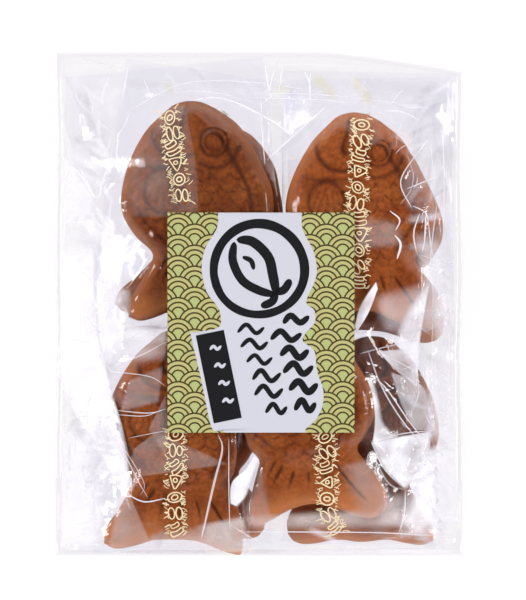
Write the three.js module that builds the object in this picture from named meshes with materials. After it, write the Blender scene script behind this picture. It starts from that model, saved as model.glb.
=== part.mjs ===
// A sealed clear bag of eight fish-shaped cakes, lying on its back with its paper label on top.
// Millimetres. X runs across the bag, Y up its length, Z out of its front.
// The origin is under the middle of the bag, on the surface that it lies on.
import * as THREE from 'three';

// ---------------------------------------------------------------- the bag
const BAG_WIDTH = 165;
const BAG_LENGTH = 203;
const TOP_CORNER_DROP = 8; // the top edge falls this far by its right-hand corner
const TOP_DROP_START = 25; // it starts to fall at this X
const TOP_DROP_CURVE = 1.3; // at 1 it would fall in a straight line
const SIDE_RIPPLE = 0.7; // the sealed sides wander in and out by this much
const RIM_HEIGHT = 13; // the sealed rim hangs this far above the table
const FOOT_RIM_HEIGHT = 21; // but the cakes crowd the bottom seal and lift it
const FOOT_RIM_REACH = 35; // over this much of the sides
const RIM_THICKNESS = 0.8; // two films, laid flat on each other
const FILM_GAP = 0.8; // the wrappers and the film round a cake
const CELLS_ACROSS = 40;
const CELLS_ALONG = 50;
const DRAPE_PASSES = 600;

// -------------------------------------------------------------- the label
const LABEL_WIDTH = 74.4;
const LABEL_LENGTH = 87.6;
const LABEL_X = 0.8; // its middle
const LABEL_Y = -7.6;
const LABEL_THICKNESS = 0.5;
const LABEL_GAP = 0.3; // the adhesive, between the film and the paper
const LABEL_EDGE_HEIGHT = 45.9; // its edges lie over the four thickest bodies
const LABEL_SAG = 1.2; // and its middle sinks between them
const LABEL_CELLS_ACROSS = 12;
const LABEL_CELLS_ALONG = 14;
const LABEL_PRESS = 6; // the film is pressed flat this far past its edges

// -------------------------------------------------------------- the cakes
const BODY_HALF_THICKNESS = 11;
const TAIL_HALF_THICKNESS = 6;
const LOWER_LAYER = 11; // height of a cake's middle plane, in each layer
const UPPER_LAYER = 33.5;
const EDGE_POWER = 3; // the higher, the flatter a cake's face and the steeper its edge

// A cake's outline is a few ellipses. `along` runs from the head's tip to the tail and `side`
// from the belly to the back; `spread` splays an ellipse's long axis away from the fish's length.
const CAKE_LOBES = [
  { along: 34, side: 0.5, halfAlong: 34, halfSide: 30.5, spread: 0, half: BODY_HALF_THICKNESS },
  { along: 62, side: -0.5, halfAlong: 22, halfSide: 20, spread: 0, half: TAIL_HALF_THICKNESS + 1 },
  { along: 78, side: 17, halfAlong: 16, halfSide: 11, spread: 52, half: TAIL_HALF_THICKNESS },
  { along: 78, side: -17, halfAlong: 16, halfSide: 11, spread: -52, half: TAIL_HALF_THICKNESS },
];

// Where the tip of each cake's head lies, and how far its tail swings to the right, in degrees.
const CAKES = [
  { x: -28, y: 81.4, turn: 6, layer: UPPER_LAYER },
  { x: 37, y: 76.2, turn: 5, layer: UPPER_LAYER },
  { x: -33, y: -9.5, turn: 1, layer: UPPER_LAYER },
  { x: 8, y: 1, turn: 9, layer: UPPER_LAYER },
  { x: -12, y: 76, turn: -12, layer: LOWER_LAYER },
  { x: 39, y: 74, turn: 2, layer: LOWER_LAYER },
  { x: -38, y: -8, turn: 5, layer: LOWER_LAYER },
  { x: 46.5, y: -7.5, turn: -5, layer: LOWER_LAYER },
];

/** How far a cake's two faces stand from its middle plane at a point of the bag; 0 outside it. */
function cakeHalfThickness(cake, x, y) {
  const turn = THREE.MathUtils.degToRad(cake.turn);
  const right = x - cake.x;
  const down = cake.y - y;
  const along = down * Math.cos(turn) + right * Math.sin(turn);
  const side = right * Math.cos(turn) - down * Math.sin(turn);
  let half = 0;
  for (const lobe of CAKE_LOBES) {
    const spread = THREE.MathUtils.degToRad(lobe.spread);
    const a = along - lobe.along;
    const s = side - lobe.side;
    const lengthwise = (a * Math.cos(spread) + s * Math.sin(spread)) / lobe.halfAlong;
    const crosswise = (s * Math.cos(spread) - a * Math.sin(spread)) / lobe.halfSide;
    const reach = Math.hypot(lengthwise, crosswise);
    if (reach < 1) {
      half = Math.max(half, lobe.half * Math.sqrt(1 - reach ** EDGE_POWER));
    }
  }
  return half;
}

/** The label's underside, a sheet that sinks a little in the middle. */
function labelHeight(x, y) {
  const across = (x - LABEL_X) / (LABEL_WIDTH / 2);
  const along = (y - LABEL_Y) / (LABEL_LENGTH / 2);
  return LABEL_EDGE_HEIGHT - LABEL_SAG * Math.max(0, 1 - across ** 2) * Math.max(0, 1 - along ** 2);
}

function isUnderLabel(x, y) {
  const nearAcross = Math.abs(x - LABEL_X) < LABEL_WIDTH / 2 + LABEL_PRESS;
  const nearAlong = Math.abs(y - LABEL_Y) < LABEL_LENGTH / 2 + LABEL_PRESS;
  return nearAcross && nearAlong;
}

/** Where the bag's top edge lies at an X, level on the left and falling on the right. */
function topEdge(x) {
  const past = Math.max(0, (x - TOP_DROP_START) / (BAG_WIDTH / 2 - TOP_DROP_START));
  return BAG_LENGTH / 2 - TOP_CORNER_DROP * past ** TOP_DROP_CURVE;
}

/** How high the two films meet at the sealed rim. */
function rimHeight(y) {
  const nearFoot = 1 - THREE.MathUtils.smoothstep(y, -BAG_LENGTH / 2, FOOT_RIM_REACH - BAG_LENGTH / 2);
  return THREE.MathUtils.lerp(RIM_HEIGHT, FOOT_RIM_HEIGHT, nearFoot);
}

/** The place in plan of a grid point, with the sealed sides wandering a little. */
function planPoint(across, along) {
  const s = across / CELLS_ACROSS;
  const t = along / CELLS_ALONG;
  const ripple = SIDE_RIPPLE * (0.5 + 0.5 * Math.cos(2 * Math.PI * 2.5 * t));
  const x = (s - 0.5) * (BAG_WIDTH - 2 * ripple * Math.abs(2 * s - 1) ** 4);
  const y = -BAG_LENGTH / 2 + t * (topEdge(x) + BAG_LENGTH / 2);
  return { x, y };
}

/** Drapes both films over the cakes: each point sinks to its neighbours' mean, or to what it lies on. */
function drapeFilms() {
  const points = [];
  for (let j = 0; j <= CELLS_ALONG; j += 1) {
    for (let i = 0; i <= CELLS_ACROSS; i += 1) {
      const { x, y } = planPoint(i, j);
      const rim = rimHeight(y);
      let above = rim;
      let below = rim;
      for (const cake of CAKES) {
        const half = cakeHalfThickness(cake, x, y);
        if (half > 0) {
          above = Math.max(above, cake.layer + half + FILM_GAP);
          below = Math.min(below, cake.layer - half - FILM_GAP);
        }
      }
      const onRim = i === 0 || j === 0 || i === CELLS_ACROSS || j === CELLS_ALONG;
      points.push({
        x,
        y,
        onRim,
        above,
        below: Math.max(0, below),
        top: onRim ? rim + RIM_THICKNESS / 2 : above,
        bottom: onRim ? rim - RIM_THICKNESS / 2 : Math.max(0, below),
      });
    }
  }
  const row = CELLS_ACROSS + 1;
  for (let pass = 0; pass < DRAPE_PASSES; pass += 1) {
    points.forEach((point, k) => {
      if (point.onRim) {
        return;
      }
      const near = [points[k - 1], points[k + 1], points[k - row], points[k + row]];
      const topMean = near.reduce((sum, other) => sum + other.top, 0) / near.length;
      const bottomMean = near.reduce((sum, other) => sum + other.bottom, 0) / near.length;
      point.top = Math.max(point.above, topMean);
      if (isUnderLabel(point.x, point.y)) {
        point.top = Math.min(point.top, labelHeight(point.x, point.y) - LABEL_GAP);
      }
      point.bottom = Math.max(0, Math.min(point.below, bottomMean));
    });
  }
  return points;
}

/** A closed sheet over a grid: its upper face, its lower face and the edge between them. */
function sheetGeometry(cellsAcross, cellsAlong, upperPoint, lowerPoint) {
  const row = cellsAcross + 1;
  const layer = row * (cellsAlong + 1);
  const positions = [];
  for (const place of [upperPoint, lowerPoint]) {
    for (let j = 0; j <= cellsAlong; j += 1) {
      for (let i = 0; i <= cellsAcross; i += 1) {
        positions.push(...place(i, j));
      }
    }
  }
  const triangles = [];
  for (let j = 0; j < cellsAlong; j += 1) {
    for (let i = 0; i < cellsAcross; i += 1) {
      const a = j * row + i;
      const b = a + 1;
      const c = a + row + 1;
      const d = a + row;
      triangles.push(a, b, c, a, c, d);
      triangles.push(layer + a, layer + c, layer + b, layer + a, layer + d, layer + c);
    }
  }
  const edge = [];
  for (let i = 0; i < cellsAcross; i += 1) {
    edge.push(i);
  }
  for (let j = 0; j < cellsAlong; j += 1) {
    edge.push(j * row + cellsAcross);
  }
  for (let i = cellsAcross; i > 0; i -= 1) {
    edge.push(cellsAlong * row + i);
  }
  for (let j = cellsAlong; j > 0; j -= 1) {
    edge.push(j * row);
  }
  edge.forEach((from, k) => {
    const to = edge[(k + 1) % edge.length];
    triangles.push(from, layer + from, layer + to, from, layer + to, to);
  });
  const geometry = new THREE.BufferGeometry();
  geometry.setAttribute('position', new THREE.Float32BufferAttribute(positions, 3));
  geometry.setIndex(triangles);
  geometry.computeVertexNormals();
  return geometry;
}

function makeBag() {
  const points = drapeFilms();
  const at = (i, j) => points[j * (CELLS_ACROSS + 1) + i];
  const geometry = sheetGeometry(
    CELLS_ACROSS,
    CELLS_ALONG,
    (i, j) => [at(i, j).x, at(i, j).y, at(i, j).top],
    (i, j) => [at(i, j).x, at(i, j).y, at(i, j).bottom],
  );
  const film = new THREE.MeshStandardMaterial({
    color: 0xeceaf1,
    roughness: 0.12,
    metalness: 0,
    transparent: true,
    opacity: 0.35,
  });
  const bag = new THREE.Mesh(geometry, film);
  bag.name = 'bag';
  return bag;
}

function makeLabel() {
  const place = (i, j, lift) => {
    const x = LABEL_X + (i / LABEL_CELLS_ACROSS - 0.5) * LABEL_WIDTH;
    const y = LABEL_Y + (j / LABEL_CELLS_ALONG - 0.5) * LABEL_LENGTH;
    return [x, y, labelHeight(x, y) + lift];
  };
  const geometry = sheetGeometry(
    LABEL_CELLS_ACROSS,
    LABEL_CELLS_ALONG,
    (i, j) => place(i, j, LABEL_THICKNESS),
    (i, j) => place(i, j, 0),
  );
  const paper = new THREE.MeshStandardMaterial({ color: 0xccc79a, roughness: 0.55, metalness: 0 });
  const label = new THREE.Mesh(geometry, paper);
  label.name = 'label';
  return label;
}

const pack = new THREE.Group();
pack.add(makeBag(), makeLabel());

export default pack;
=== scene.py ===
"""A clear bag of eight fish-shaped cakes, each in its own printed wrapper, lying on its back."""
import math

import bpy
import numpy as np
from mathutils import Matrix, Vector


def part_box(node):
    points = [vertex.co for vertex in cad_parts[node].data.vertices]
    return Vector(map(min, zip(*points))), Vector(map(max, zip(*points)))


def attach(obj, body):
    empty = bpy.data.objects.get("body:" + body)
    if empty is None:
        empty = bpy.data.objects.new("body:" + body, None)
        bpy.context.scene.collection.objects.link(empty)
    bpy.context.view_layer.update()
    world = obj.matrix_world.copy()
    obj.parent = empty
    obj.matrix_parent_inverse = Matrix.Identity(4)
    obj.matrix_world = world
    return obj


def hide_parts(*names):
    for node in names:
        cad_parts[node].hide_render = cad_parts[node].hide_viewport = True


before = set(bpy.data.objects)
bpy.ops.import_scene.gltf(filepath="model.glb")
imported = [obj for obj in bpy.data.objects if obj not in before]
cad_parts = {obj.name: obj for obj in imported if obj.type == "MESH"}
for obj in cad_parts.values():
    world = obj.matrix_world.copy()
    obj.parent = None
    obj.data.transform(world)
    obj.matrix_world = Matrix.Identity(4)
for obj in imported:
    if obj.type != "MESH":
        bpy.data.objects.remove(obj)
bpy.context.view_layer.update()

MM = 0.001
SHARP_EDGE = 40  # degrees: paper and print are shaded flat across edges sharper than this
SHARP_FOLD = 60  # and folded film across edges sharper than this

# ------------------------------------------------------------------ sizes, in millimetres


def corners_mm(name):
    """The lowest and the highest corner of a CAD node's box."""
    return [[c / MM for c in corner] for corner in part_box(name)]


(BAG_LEFT, BAG_FOOT, _), (BAG_RIGHT, BAG_TOP, BAG_CREST) = corners_mm("bag")
(LABEL_LEFT, LABEL_FOOT, _), (LABEL_RIGHT, LABEL_HEAD, LABEL_CREST) = corners_mm("label")
BAG_WIDTH = BAG_RIGHT - BAG_LEFT
BAG_LENGTH = BAG_TOP - BAG_FOOT
TOP_CORNER_DROP = 8.0  # the top edge falls this far by its right-hand corner
TOP_DROP_START = 25.0  # it starts to fall at this X
TOP_DROP_CURVE = 1.3  # at 1 it would fall in a straight line
SIDE_RIPPLE = 0.7  # the sealed sides wander in and out by this much
SEAL_WIDTH = 2.6  # the two films lie flat on each other this far in from the edge
HALF_SEAL = 0.12  # half the gap between the two films there
RIM_HEIGHT = 13.0  # the sealed rim hangs this far above the table
FOOT_RIM_HEIGHT = 21.0  # but the cakes crowd the bottom seal and lift it
FOOT_RIM_REACH = 35.0  # over this much of the sides
TABLE_GAP = 0.05  # the lowest film stays this far above the table

LABEL_X, LABEL_Y = (LABEL_LEFT + LABEL_RIGHT) / 2, (LABEL_FOOT + LABEL_HEAD) / 2
LABEL_HALF_WIDTH = (LABEL_RIGHT - LABEL_LEFT) / 2
LABEL_HALF_LENGTH = (LABEL_HEAD - LABEL_FOOT) / 2
LABEL_THICKNESS = 0.5  # of the CAD node, whose underside the paper follows
LABEL_SAG = 1.2  # its middle sinks this far between the cakes
LABEL_PAPER = 0.16
GLUE = 0.28  # the film below the paper and the adhesive
INK = 0.02  # each layer of print stands this proud

# The label's pattern: fans this wide apart, in rows this far apart, each with three printed lines.
FAN_PITCH = 13.1
FAN_ROW = 4.18
FAN_RADIUS = 6.6
FAN_ORIGIN = (-25.6, 25.3)
FAN_LINES = [(2.15, 2.8), (4.05, 4.72), (5.95, 6.6)]  # each line's inner and outer radius

UPPER_LAYER = 33.4  # height of a cake's middle plane
LOWER_LAYER = 11.1
BETWEEN_LAYERS = 20.0

# Each cake: the tip of its head, the swing of its tail to the right in degrees, the height of its middle
# plane, its size, the lift of its tail, how light its colour is drawn, how far the fork of its tail is
# filled in, and whether it lies turned over.
CAKES = {
    "upper_left": dict(x=-28.6, y=81.4, turn=4, z=UPPER_LAYER, scale=0.995, tail=1.0, tone=0.70),
    "upper_right": dict(x=37.0, y=76.2, turn=4, z=UPPER_LAYER, scale=0.965, tail=0.8, tone=1.07),
    "lower_left": dict(x=-33.4, y=-11.0, turn=1, z=UPPER_LAYER, scale=0.985, tail=-0.8, tone=0.92, fill=0.6),
    "lower_middle": dict(x=8.6, y=-1.5, turn=9, z=UPPER_LAYER - 0.2, scale=0.975, tail=0.2, tone=1.0),
    "back_upper_left": dict(x=-8.4, y=70.4, turn=-16.4, z=LOWER_LAYER, scale=0.96, tail=0, tone=0.85),
    "back_upper_right": dict(x=43.0, y=71.0, turn=1, z=LOWER_LAYER, scale=0.96, tail=0, tone=0.85, fill=0.5),
    "back_lower_left": dict(x=-33.6, y=-10.0, turn=4, z=LOWER_LAYER, scale=0.96, tail=0, tone=0.9),
    "back_lower_right": dict(
        x=47.2, y=-12.8, turn=-4, z=LOWER_LAYER, scale=0.955, tail=0, tone=0.95, fill=1.0, over=True
    ),
}
# Where two soft cakes press flat against each other: a point on the line between them, and the compass
# angle, in degrees from +X, of the direction from the first to the second.
CONTACTS = [
    ("lower_left", "lower_middle", (-8.3, -46.0), 4.0),
    ("upper_left", "lower_middle", (1.0, -3.6), -72.0),
    ("upper_right", "lower_middle", (20.0, -6.4), -104.0),
]
CONTACT_SOFTNESS = 7.0  # how deep the squashing reaches

# Each cake's wrapper: the head end of its middle line, its swing in degrees, how far it reaches left and
# right, its length, and how wide its mesh's cells are (the hidden ones are coarser).
FINE, COARSE = 1.0, 1.7
WRAPPERS = {
    "upper_left": dict(x=-38.2, y=95.0, turn=6.0, left=40.0, right=40.0, length=104.5, cell=FINE),
    "upper_right": dict(x=40.8, y=93.0, turn=-1.0, left=31.0, right=38.5, length=102.0, cell=FINE),
    "lower_left": dict(x=-33.2, y=-9.0, turn=0.0, left=42.0, right=29.5, length=90.8, cell=FINE),
    "lower_middle": dict(x=22.5, y=1.0, turn=4.0, left=35.0, right=42.0, length=97.6, cell=FINE),
    "back_upper_left": dict(x=-15.0, y=93.0, turn=-9.0, left=39.0, right=31.0, length=106.0, cell=COARSE),
    "back_upper_right": dict(x=40.0, y=91.0, turn=1.0, left=29.0, right=37.5, length=103.0, cell=COARSE),
    "back_lower_left": dict(x=-34.6, y=-8.6, turn=3.0, left=37.0, right=35.0, length=91.0, cell=COARSE),
    "back_lower_right": dict(x=48.6, y=-9.2, turn=-3.6, left=34.0, right=32.4, length=89.2, cell=COARSE),
}

# ------------------------------------------------------------------ small helpers


def linear(hex_colour, alpha=1.0):
    """An sRGB hex colour as linear RGBA."""
    channels = [int(hex_colour[i : i + 2], 16) / 255 for i in (1, 3, 5)]
    return [c / 12.92 if c <= 0.04045 else ((c + 0.055) / 1.055) ** 2.4 for c in channels] + [alpha]


def smoothstep(low, high, value):
    """0 below low, 1 above high, and a smooth rise between."""
    t = np.clip((value - low) / (high - low), 0.0, 1.0)
    return t * t * (3 - 2 * t)


def deselect_all():
    for thing in bpy.context.selected_objects:
        thing.select_set(False)


def slab(name, cells_x, cells_y):
    """A closed flat sheet with two faces; returns it with each vertex's cell and whether it's on top."""
    deselect_all()
    bpy.ops.mesh.primitive_grid_add(x_subdivisions=cells_x, y_subdivisions=cells_y, size=1)
    piece = bpy.context.object
    piece.name = name
    bpy.ops.object.mode_set(mode="EDIT")
    bpy.ops.mesh.select_all(action="SELECT")
    bpy.ops.mesh.extrude_region_move(TRANSFORM_OT_translate={"value": (0, 0, 1)})
    bpy.ops.mesh.select_all(action="SELECT")
    bpy.ops.mesh.normals_make_consistent(inside=False)
    bpy.ops.object.mode_set(mode="OBJECT")
    flat = np.empty(len(piece.data.vertices) * 3)
    piece.data.vertices.foreach_get("co", flat)
    x, y, z = flat.reshape(-1, 3).T
    i = np.rint((x + 0.5) * cells_x).astype(int)
    j = np.rint((y + 0.5) * cells_y).astype(int)
    return piece, i, j, z > 0.5


def slab_row(name, cells_x, cells_y, count):
    """Many flat sheets in one piece, repeated by an array; returns each vertex's sheet number as well."""
    piece, i, j, is_top = slab(name, cells_x, cells_y)
    repeat = piece.modifiers.new("repeat", "ARRAY")
    repeat.count = count
    repeat.relative_offset_displace = (2.0, 0.0, 0.0)
    bpy.ops.object.modifier_apply(modifier="repeat")
    which = np.repeat(np.arange(count), len(i))
    return piece, np.tile(i, count), np.tile(j, count), np.tile(is_top, count), which


def set_points(piece, x, y, z):
    """Moves every vertex to its place, given in millimetres."""
    points = np.column_stack([x, y, z]) * MM
    piece.data.vertices.foreach_set("co", points.ravel())
    piece.data.update()


def set_attribute(piece, name, values):
    """Gives every vertex a number that the material reads."""
    layer = piece.data.attributes.new(name, "FLOAT", "POINT")
    layer.data.foreach_set("value", np.asarray(values, dtype=float))


def finish_piece(piece, material, sharp_angle=None):
    """Smooths a piece, gives it its material and makes it ride with the pack."""
    deselect_all()
    piece.select_set(True)
    bpy.context.view_layer.objects.active = piece
    if sharp_angle is None:
        bpy.ops.object.shade_smooth()
    else:
        bpy.ops.object.shade_smooth_by_angle(angle=math.radians(sharp_angle))
    piece.data.materials.clear()
    piece.data.materials.append(material)
    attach(piece, "root")
    piece.select_set(False)


def smooth_path(points, steps=12):
    """A curve through all the points (Catmull-Rom)."""
    p = np.array(points, dtype=float)
    p = np.vstack([2 * p[0] - p[1], p, 2 * p[-1] - p[-2]])
    t = np.linspace(0, 1, steps, endpoint=False)[:, None]
    spans = []
    for a, b, c, d in zip(p[:-3], p[1:-2], p[2:-1], p[3:]):
        square, cube = 2 * a - 5 * b + 4 * c - d, 3 * b - a - 3 * c + d
        spans.append(0.5 * (2 * b + (c - a) * t + square * t**2 + cube * t**3))
    return np.vstack(spans + [p[-2][None]])


def path_steps(path):
    """The length of each straight piece of a path."""
    return np.hypot(*np.diff(np.asarray(path, dtype=float), axis=0).T)


def along_path(path, fractions):
    """Points at fractions of a path's length."""
    lengths = np.concatenate([[0], np.cumsum(path_steps(path))])
    where = np.asarray(fractions) * lengths[-1]
    return np.column_stack([np.interp(where, lengths, path[:, k]) for k in (0, 1)])


def heading(path, fractions, reach):
    """The direction of a path at fractions of its length, measured over a short reach to both sides."""
    ahead = along_path(path, np.minimum(fractions + reach, 1.0))
    ahead -= along_path(path, np.maximum(fractions - reach, 0.0))
    return ahead / (np.hypot(*ahead.T)[:, None] + 1e-9)


def path_distance(x, y, path):
    """Distance to a polyline and how far along it the nearest point is, in the path's units."""
    best = np.full(x.shape, np.inf)
    travel = np.zeros(x.shape)
    walked = 0.0
    for (ax, ay), (bx, by) in zip(path[:-1], path[1:]):
        dx, dy = bx - ax, by - ay
        length = math.hypot(dx, dy)
        if length == 0:
            continue
        t = np.clip(((x - ax) * dx + (y - ay) * dy) / length**2, 0, 1)
        distance = np.hypot(x - ax - t * dx, y - ay - t * dy)
        nearer = distance < best
        best = np.where(nearer, distance, best)
        travel = np.where(nearer, walked + t * length, travel)
        walked += length
    return best, travel


def between_cells(field, i, j):
    """A grid's value at places between its points."""
    i = np.clip(i, 0, field.shape[1] - 1.001)
    j = np.clip(j, 0, field.shape[0] - 1.001)
    i0, j0 = i.astype(int), j.astype(int)
    fi, fj = i - i0, j - j0
    near = field[j0, i0] * (1 - fi) + field[j0, i0 + 1] * fi
    far = field[j0 + 1, i0] * (1 - fi) + field[j0 + 1, i0 + 1] * fi
    return near * (1 - fj) + far * fj


def keep_in_bag(x, y):
    """Holds the print and the folds just inside the bag's edges."""
    return np.clip(x, BAG_LEFT + 0.5, BAG_RIGHT - 0.5), np.clip(y, BAG_FOOT + 0.3, BAG_TOP - 0.3)


def waves(x, y, seed, longest, count=7):
    """Smooth unevenness about 1 high, as a few crossing sine waves."""
    draw = np.random.default_rng(seed)
    total = np.zeros(np.shape(x))
    for _ in range(count):
        angle = draw.uniform(0, 2 * math.pi)
        length = longest * draw.uniform(0.45, 1.0)
        phase = draw.uniform(0, 2 * math.pi)
        total += np.sin(2 * math.pi * (x * math.cos(angle) + y * math.sin(angle)) / length + phase)
    return total / count**0.5


def overlapping_fans(x, y, pitch_x, pitch_y, radius):
    """Distance from the middle of the fan that covers a point, in rows of fans each over the next one up."""
    row = np.floor(y / pitch_y)

    def reach(row_number):
        shift = np.mod(row_number, 2) * pitch_x / 2
        across = np.mod(x - shift + pitch_x / 2, pitch_x) - pitch_x / 2
        return np.hypot(across, y - row_number * pitch_y)

    front, middle, back = reach(row - 1), reach(row), reach(row + 1)
    return np.where(front < radius, front, np.where(middle < radius, middle, back))


# ------------------------------------------------------------------ materials

CRUST_PATCH = 10.53  # mm: patches where the iron was hotter
CRUST_GRAIN = 1.613  # mm: crumb and pores, drawn coarser than they are so that they show
CRINKLE_DEPTH = 0.08  # mm


def blank(owner):
    """Empties the nodes of a new material or world."""
    owner.use_nodes = True
    owner.node_tree.nodes.clear()
    return owner


def node(owner, kind, inputs=None, **settings):
    """Adds a node; inputs maps a socket's name or number to a value or to another node's output."""
    made = owner.node_tree.nodes.new(kind)
    for key, value in settings.items():
        setattr(made, key, value)
    for key, value in (inputs or {}).items():
        if isinstance(value, bpy.types.NodeSocket):
            owner.node_tree.links.new(value, made.inputs[key])
        else:
            made.inputs[key].default_value = value
    return made


def baked_crust():
    """Wheat batter baked in an iron mould: matt and finely pored, with painted shade in its grooves, and
    pale edges that are partly its own and partly a painted highlight.
    """
    m = blank(bpy.data.materials.new("baked_batter_crust"))
    place = node(m, "ShaderNodeTexCoord").outputs["Object"]
    patch = {"Vector": place, "Scale": 1 / (CRUST_PATCH * MM), "Detail": 3.0}
    pore = {"Vector": place, "Scale": 1 / (CRUST_GRAIN * MM), "Detail": 4.0}
    brown = node(m, "ShaderNodeValToRGB", {"Fac": node(m, "ShaderNodeTexNoise", patch).outputs["Fac"]})
    grain = node(m, "ShaderNodeTexNoise", pore).outputs["Fac"]
    tones = [node(m, "ShaderNodeAttribute", attribute_name=name) for name in ("groove", "edge", "bake")]
    groove, edge, bake = (tone.outputs["Fac"] for tone in tones)
    for stop, position, colour in zip(brown.color_ramp.elements, (0.32, 0.68), ("#823d12", "#9e5522")):
        stop.position = position
        stop.color = linear(colour)
    speckle = node(
        m,
        "ShaderNodeMapRange",
        {"Value": grain, "From Min": 0.35, "From Max": 0.65, "To Min": 0.76, "To Max": 1.20},
    )
    mottled = node(
        m,
        "ShaderNodeMix",
        {"Factor": 1.0, 6: brown.outputs["Color"], 7: speckle.outputs["Result"]},
        data_type="RGBA",
        blend_type="MULTIPLY",
    )
    # Pale edges and tail: partly the crust's own paleness, partly a painted highlight.
    paler_edge_and_highlight = {"Factor": edge, 6: mottled.outputs[2], 7: linear("#c97f4a")}
    # Painted shade: darker brown in the grooves.
    darker = {"Factor": groove, 6: node(m, "ShaderNodeMix", paler_edge_and_highlight, data_type="RGBA").outputs[2]}
    darker[7] = linear("#411a08")
    shaded = node(m, "ShaderNodeMix", darker, data_type="RGBA").outputs[2]
    # Each cake's colour is scaled by its own tone.
    baked = node(m, "ShaderNodeVectorMath", {0: shaded, "Scale": bake}, operation="SCALE")
    pores = node(m, "ShaderNodeBump", {"Strength": 0.35, "Distance": 0.0004, "Height": grain})
    face = {"Base Color": baked.outputs[0], "Roughness": 0.62, "Specular IOR Level": 0.12}
    crust = node(m, "ShaderNodeBsdfPrincipled", {**face, "Normal": pores.outputs[0]})
    node(m, "ShaderNodeOutputMaterial", {"Surface": crust.outputs[0]})
    return m


def clear_film(name, tint, head_on, at_slant, roughness, crinkle_width):
    """Cast polypropylene film: see-through head on, glossy at a slant, with crinkles that glint."""
    m = blank(bpy.data.materials.new(name))
    place = node(m, "ShaderNodeTexCoord").outputs["Object"]
    noise = {"Vector": place, "Scale": 1 / (crinkle_width * MM), "Detail": 2.0}
    crinkle = node(m, "ShaderNodeTexNoise", noise).outputs["Fac"]
    bump = node(m, "ShaderNodeBump", {"Strength": 1.0, "Distance": CRINKLE_DEPTH * MM, "Height": crinkle})
    slant = node(m, "ShaderNodeLayerWeight", {"Blend": 0.5, "Normal": bump.outputs[0]})
    steep = node(m, "ShaderNodeMath", {0: slant.outputs["Facing"], 1: 4.0}, operation="POWER")
    share = node(m, "ShaderNodeMapRange", {"Value": steep.outputs[0], "To Min": head_on, "To Max": at_slant})
    through = node(m, "ShaderNodeBsdfTransparent", {"Color": linear(tint)})
    gloss = {"Color": linear("#ffffff"), "Roughness": roughness, "Normal": bump.outputs[0]}
    shine = node(m, "ShaderNodeBsdfGlossy", gloss)
    film = node(m, "ShaderNodeMixShader", {0: share.outputs[0], 1: through.outputs[0], 2: shine.outputs[0]})
    node(m, "ShaderNodeOutputMaterial", {"Surface": film.outputs[0]})
    return m


def see_through_sheet(name, colour):
    """A see-through sheet of one colour, as solid as its haze says: doubled film, painted glare, painted
    shade and print seen through film.
    """
    m = blank(bpy.data.materials.new(name))
    haze = node(m, "ShaderNodeAttribute", attribute_name="haze").outputs["Fac"]
    ply = node(
        m,
        "ShaderNodeBsdfPrincipled",
        {"Base Color": linear(colour), "Roughness": 0.3, "Specular IOR Level": 0.3, "Alpha": haze},
    )
    node(m, "ShaderNodeOutputMaterial", {"Surface": ply.outputs[0]})
    return m


def fan_reach(m, x, y, row, offset):
    """How far a point is from the middle of its fan in one row; every other row is shifted by half a fan."""
    math_node = "ShaderNodeMath"
    number = node(m, math_node, {0: row, 1: offset}, operation="ADD").outputs[0]
    odd = node(m, math_node, {0: number, 1: 2.0}, operation="FLOORED_MODULO").outputs[0]
    along = node(m, math_node, {0: odd, 1: -FAN_PITCH / 2, 2: x}, operation="MULTIPLY_ADD").outputs[0]
    across = node(m, math_node, {0: along, 1: FAN_PITCH / 2, 2: -FAN_PITCH / 2}, operation="WRAP").outputs[0]
    up = node(m, math_node, {0: number, 1: -FAN_ROW, 2: y}, operation="MULTIPLY_ADD").outputs[0]
    square = node(m, math_node, {0: across, 1: across}, operation="MULTIPLY").outputs[0]
    squares = node(m, math_node, {0: up, 1: up, 2: square}, operation="MULTIPLY_ADD").outputs[0]
    return node(m, math_node, {0: squares}, operation="SQRT").outputs[0]


def fan_paper():
    """Coated paper, smooth and half matt, printed with overlapping fans in olive lines on yellow-green."""
    m = blank(bpy.data.materials.new("coated_paper_with_fans"))
    place = node(m, "ShaderNodeTexCoord").outputs["Object"]
    in_mm = node(m, "ShaderNodeVectorMath", {0: place, "Scale": 1 / MM}, operation="SCALE").outputs[0]
    shift = {0: in_mm, 1: (*FAN_ORIGIN, 0.0)}
    shifted = node(m, "ShaderNodeVectorMath", shift, operation="SUBTRACT").outputs[0]
    split = node(m, "ShaderNodeSeparateXYZ", {0: shifted})
    x, y = split.outputs["X"], split.outputs["Y"]
    rows = node(m, "ShaderNodeMath", {0: y, 1: FAN_ROW}, operation="DIVIDE").outputs[0]
    row = node(m, "ShaderNodeMath", {0: rows}, operation="FLOOR").outputs[0]
    reach = fan_reach(m, x, y, row, 1.0)
    for offset in (0.0, -1.0):
        nearer = fan_reach(m, x, y, row, offset)
        covers = node(m, "ShaderNodeMath", {0: nearer, 1: FAN_RADIUS}, operation="LESS_THAN").outputs[0]
        reach = node(m, "ShaderNodeMix", {0: covers, 2: reach, 3: nearer}, data_type="FLOAT").outputs[0]
    share = node(m, "ShaderNodeMath", {0: reach, 1: FAN_RADIUS}, operation="DIVIDE").outputs[0]
    bands = node(m, "ShaderNodeValToRGB", {"Fac": share})
    stops = [(0.0, "#a6ac70")]
    for start, end in FAN_LINES:
        stops += [(start, "#3b310a"), (end, "#afaa70")]
    ramp = bands.color_ramp
    ramp.interpolation = "CONSTANT"
    ramp.elements.remove(ramp.elements[1])
    for radius, colour in stops[:-1]:
        stop = ramp.elements[0] if radius == 0 else ramp.elements.new(radius / FAN_RADIUS)
        stop.color = linear(colour)
    face = node(
        m,
        "ShaderNodeBsdfPrincipled",
        {"Base Color": bands.outputs["Color"], "Roughness": 0.5, "Specular IOR Level": 0.3},
    )
    node(m, "ShaderNodeOutputMaterial", {"Surface": face.outputs[0]})
    return m


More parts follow.
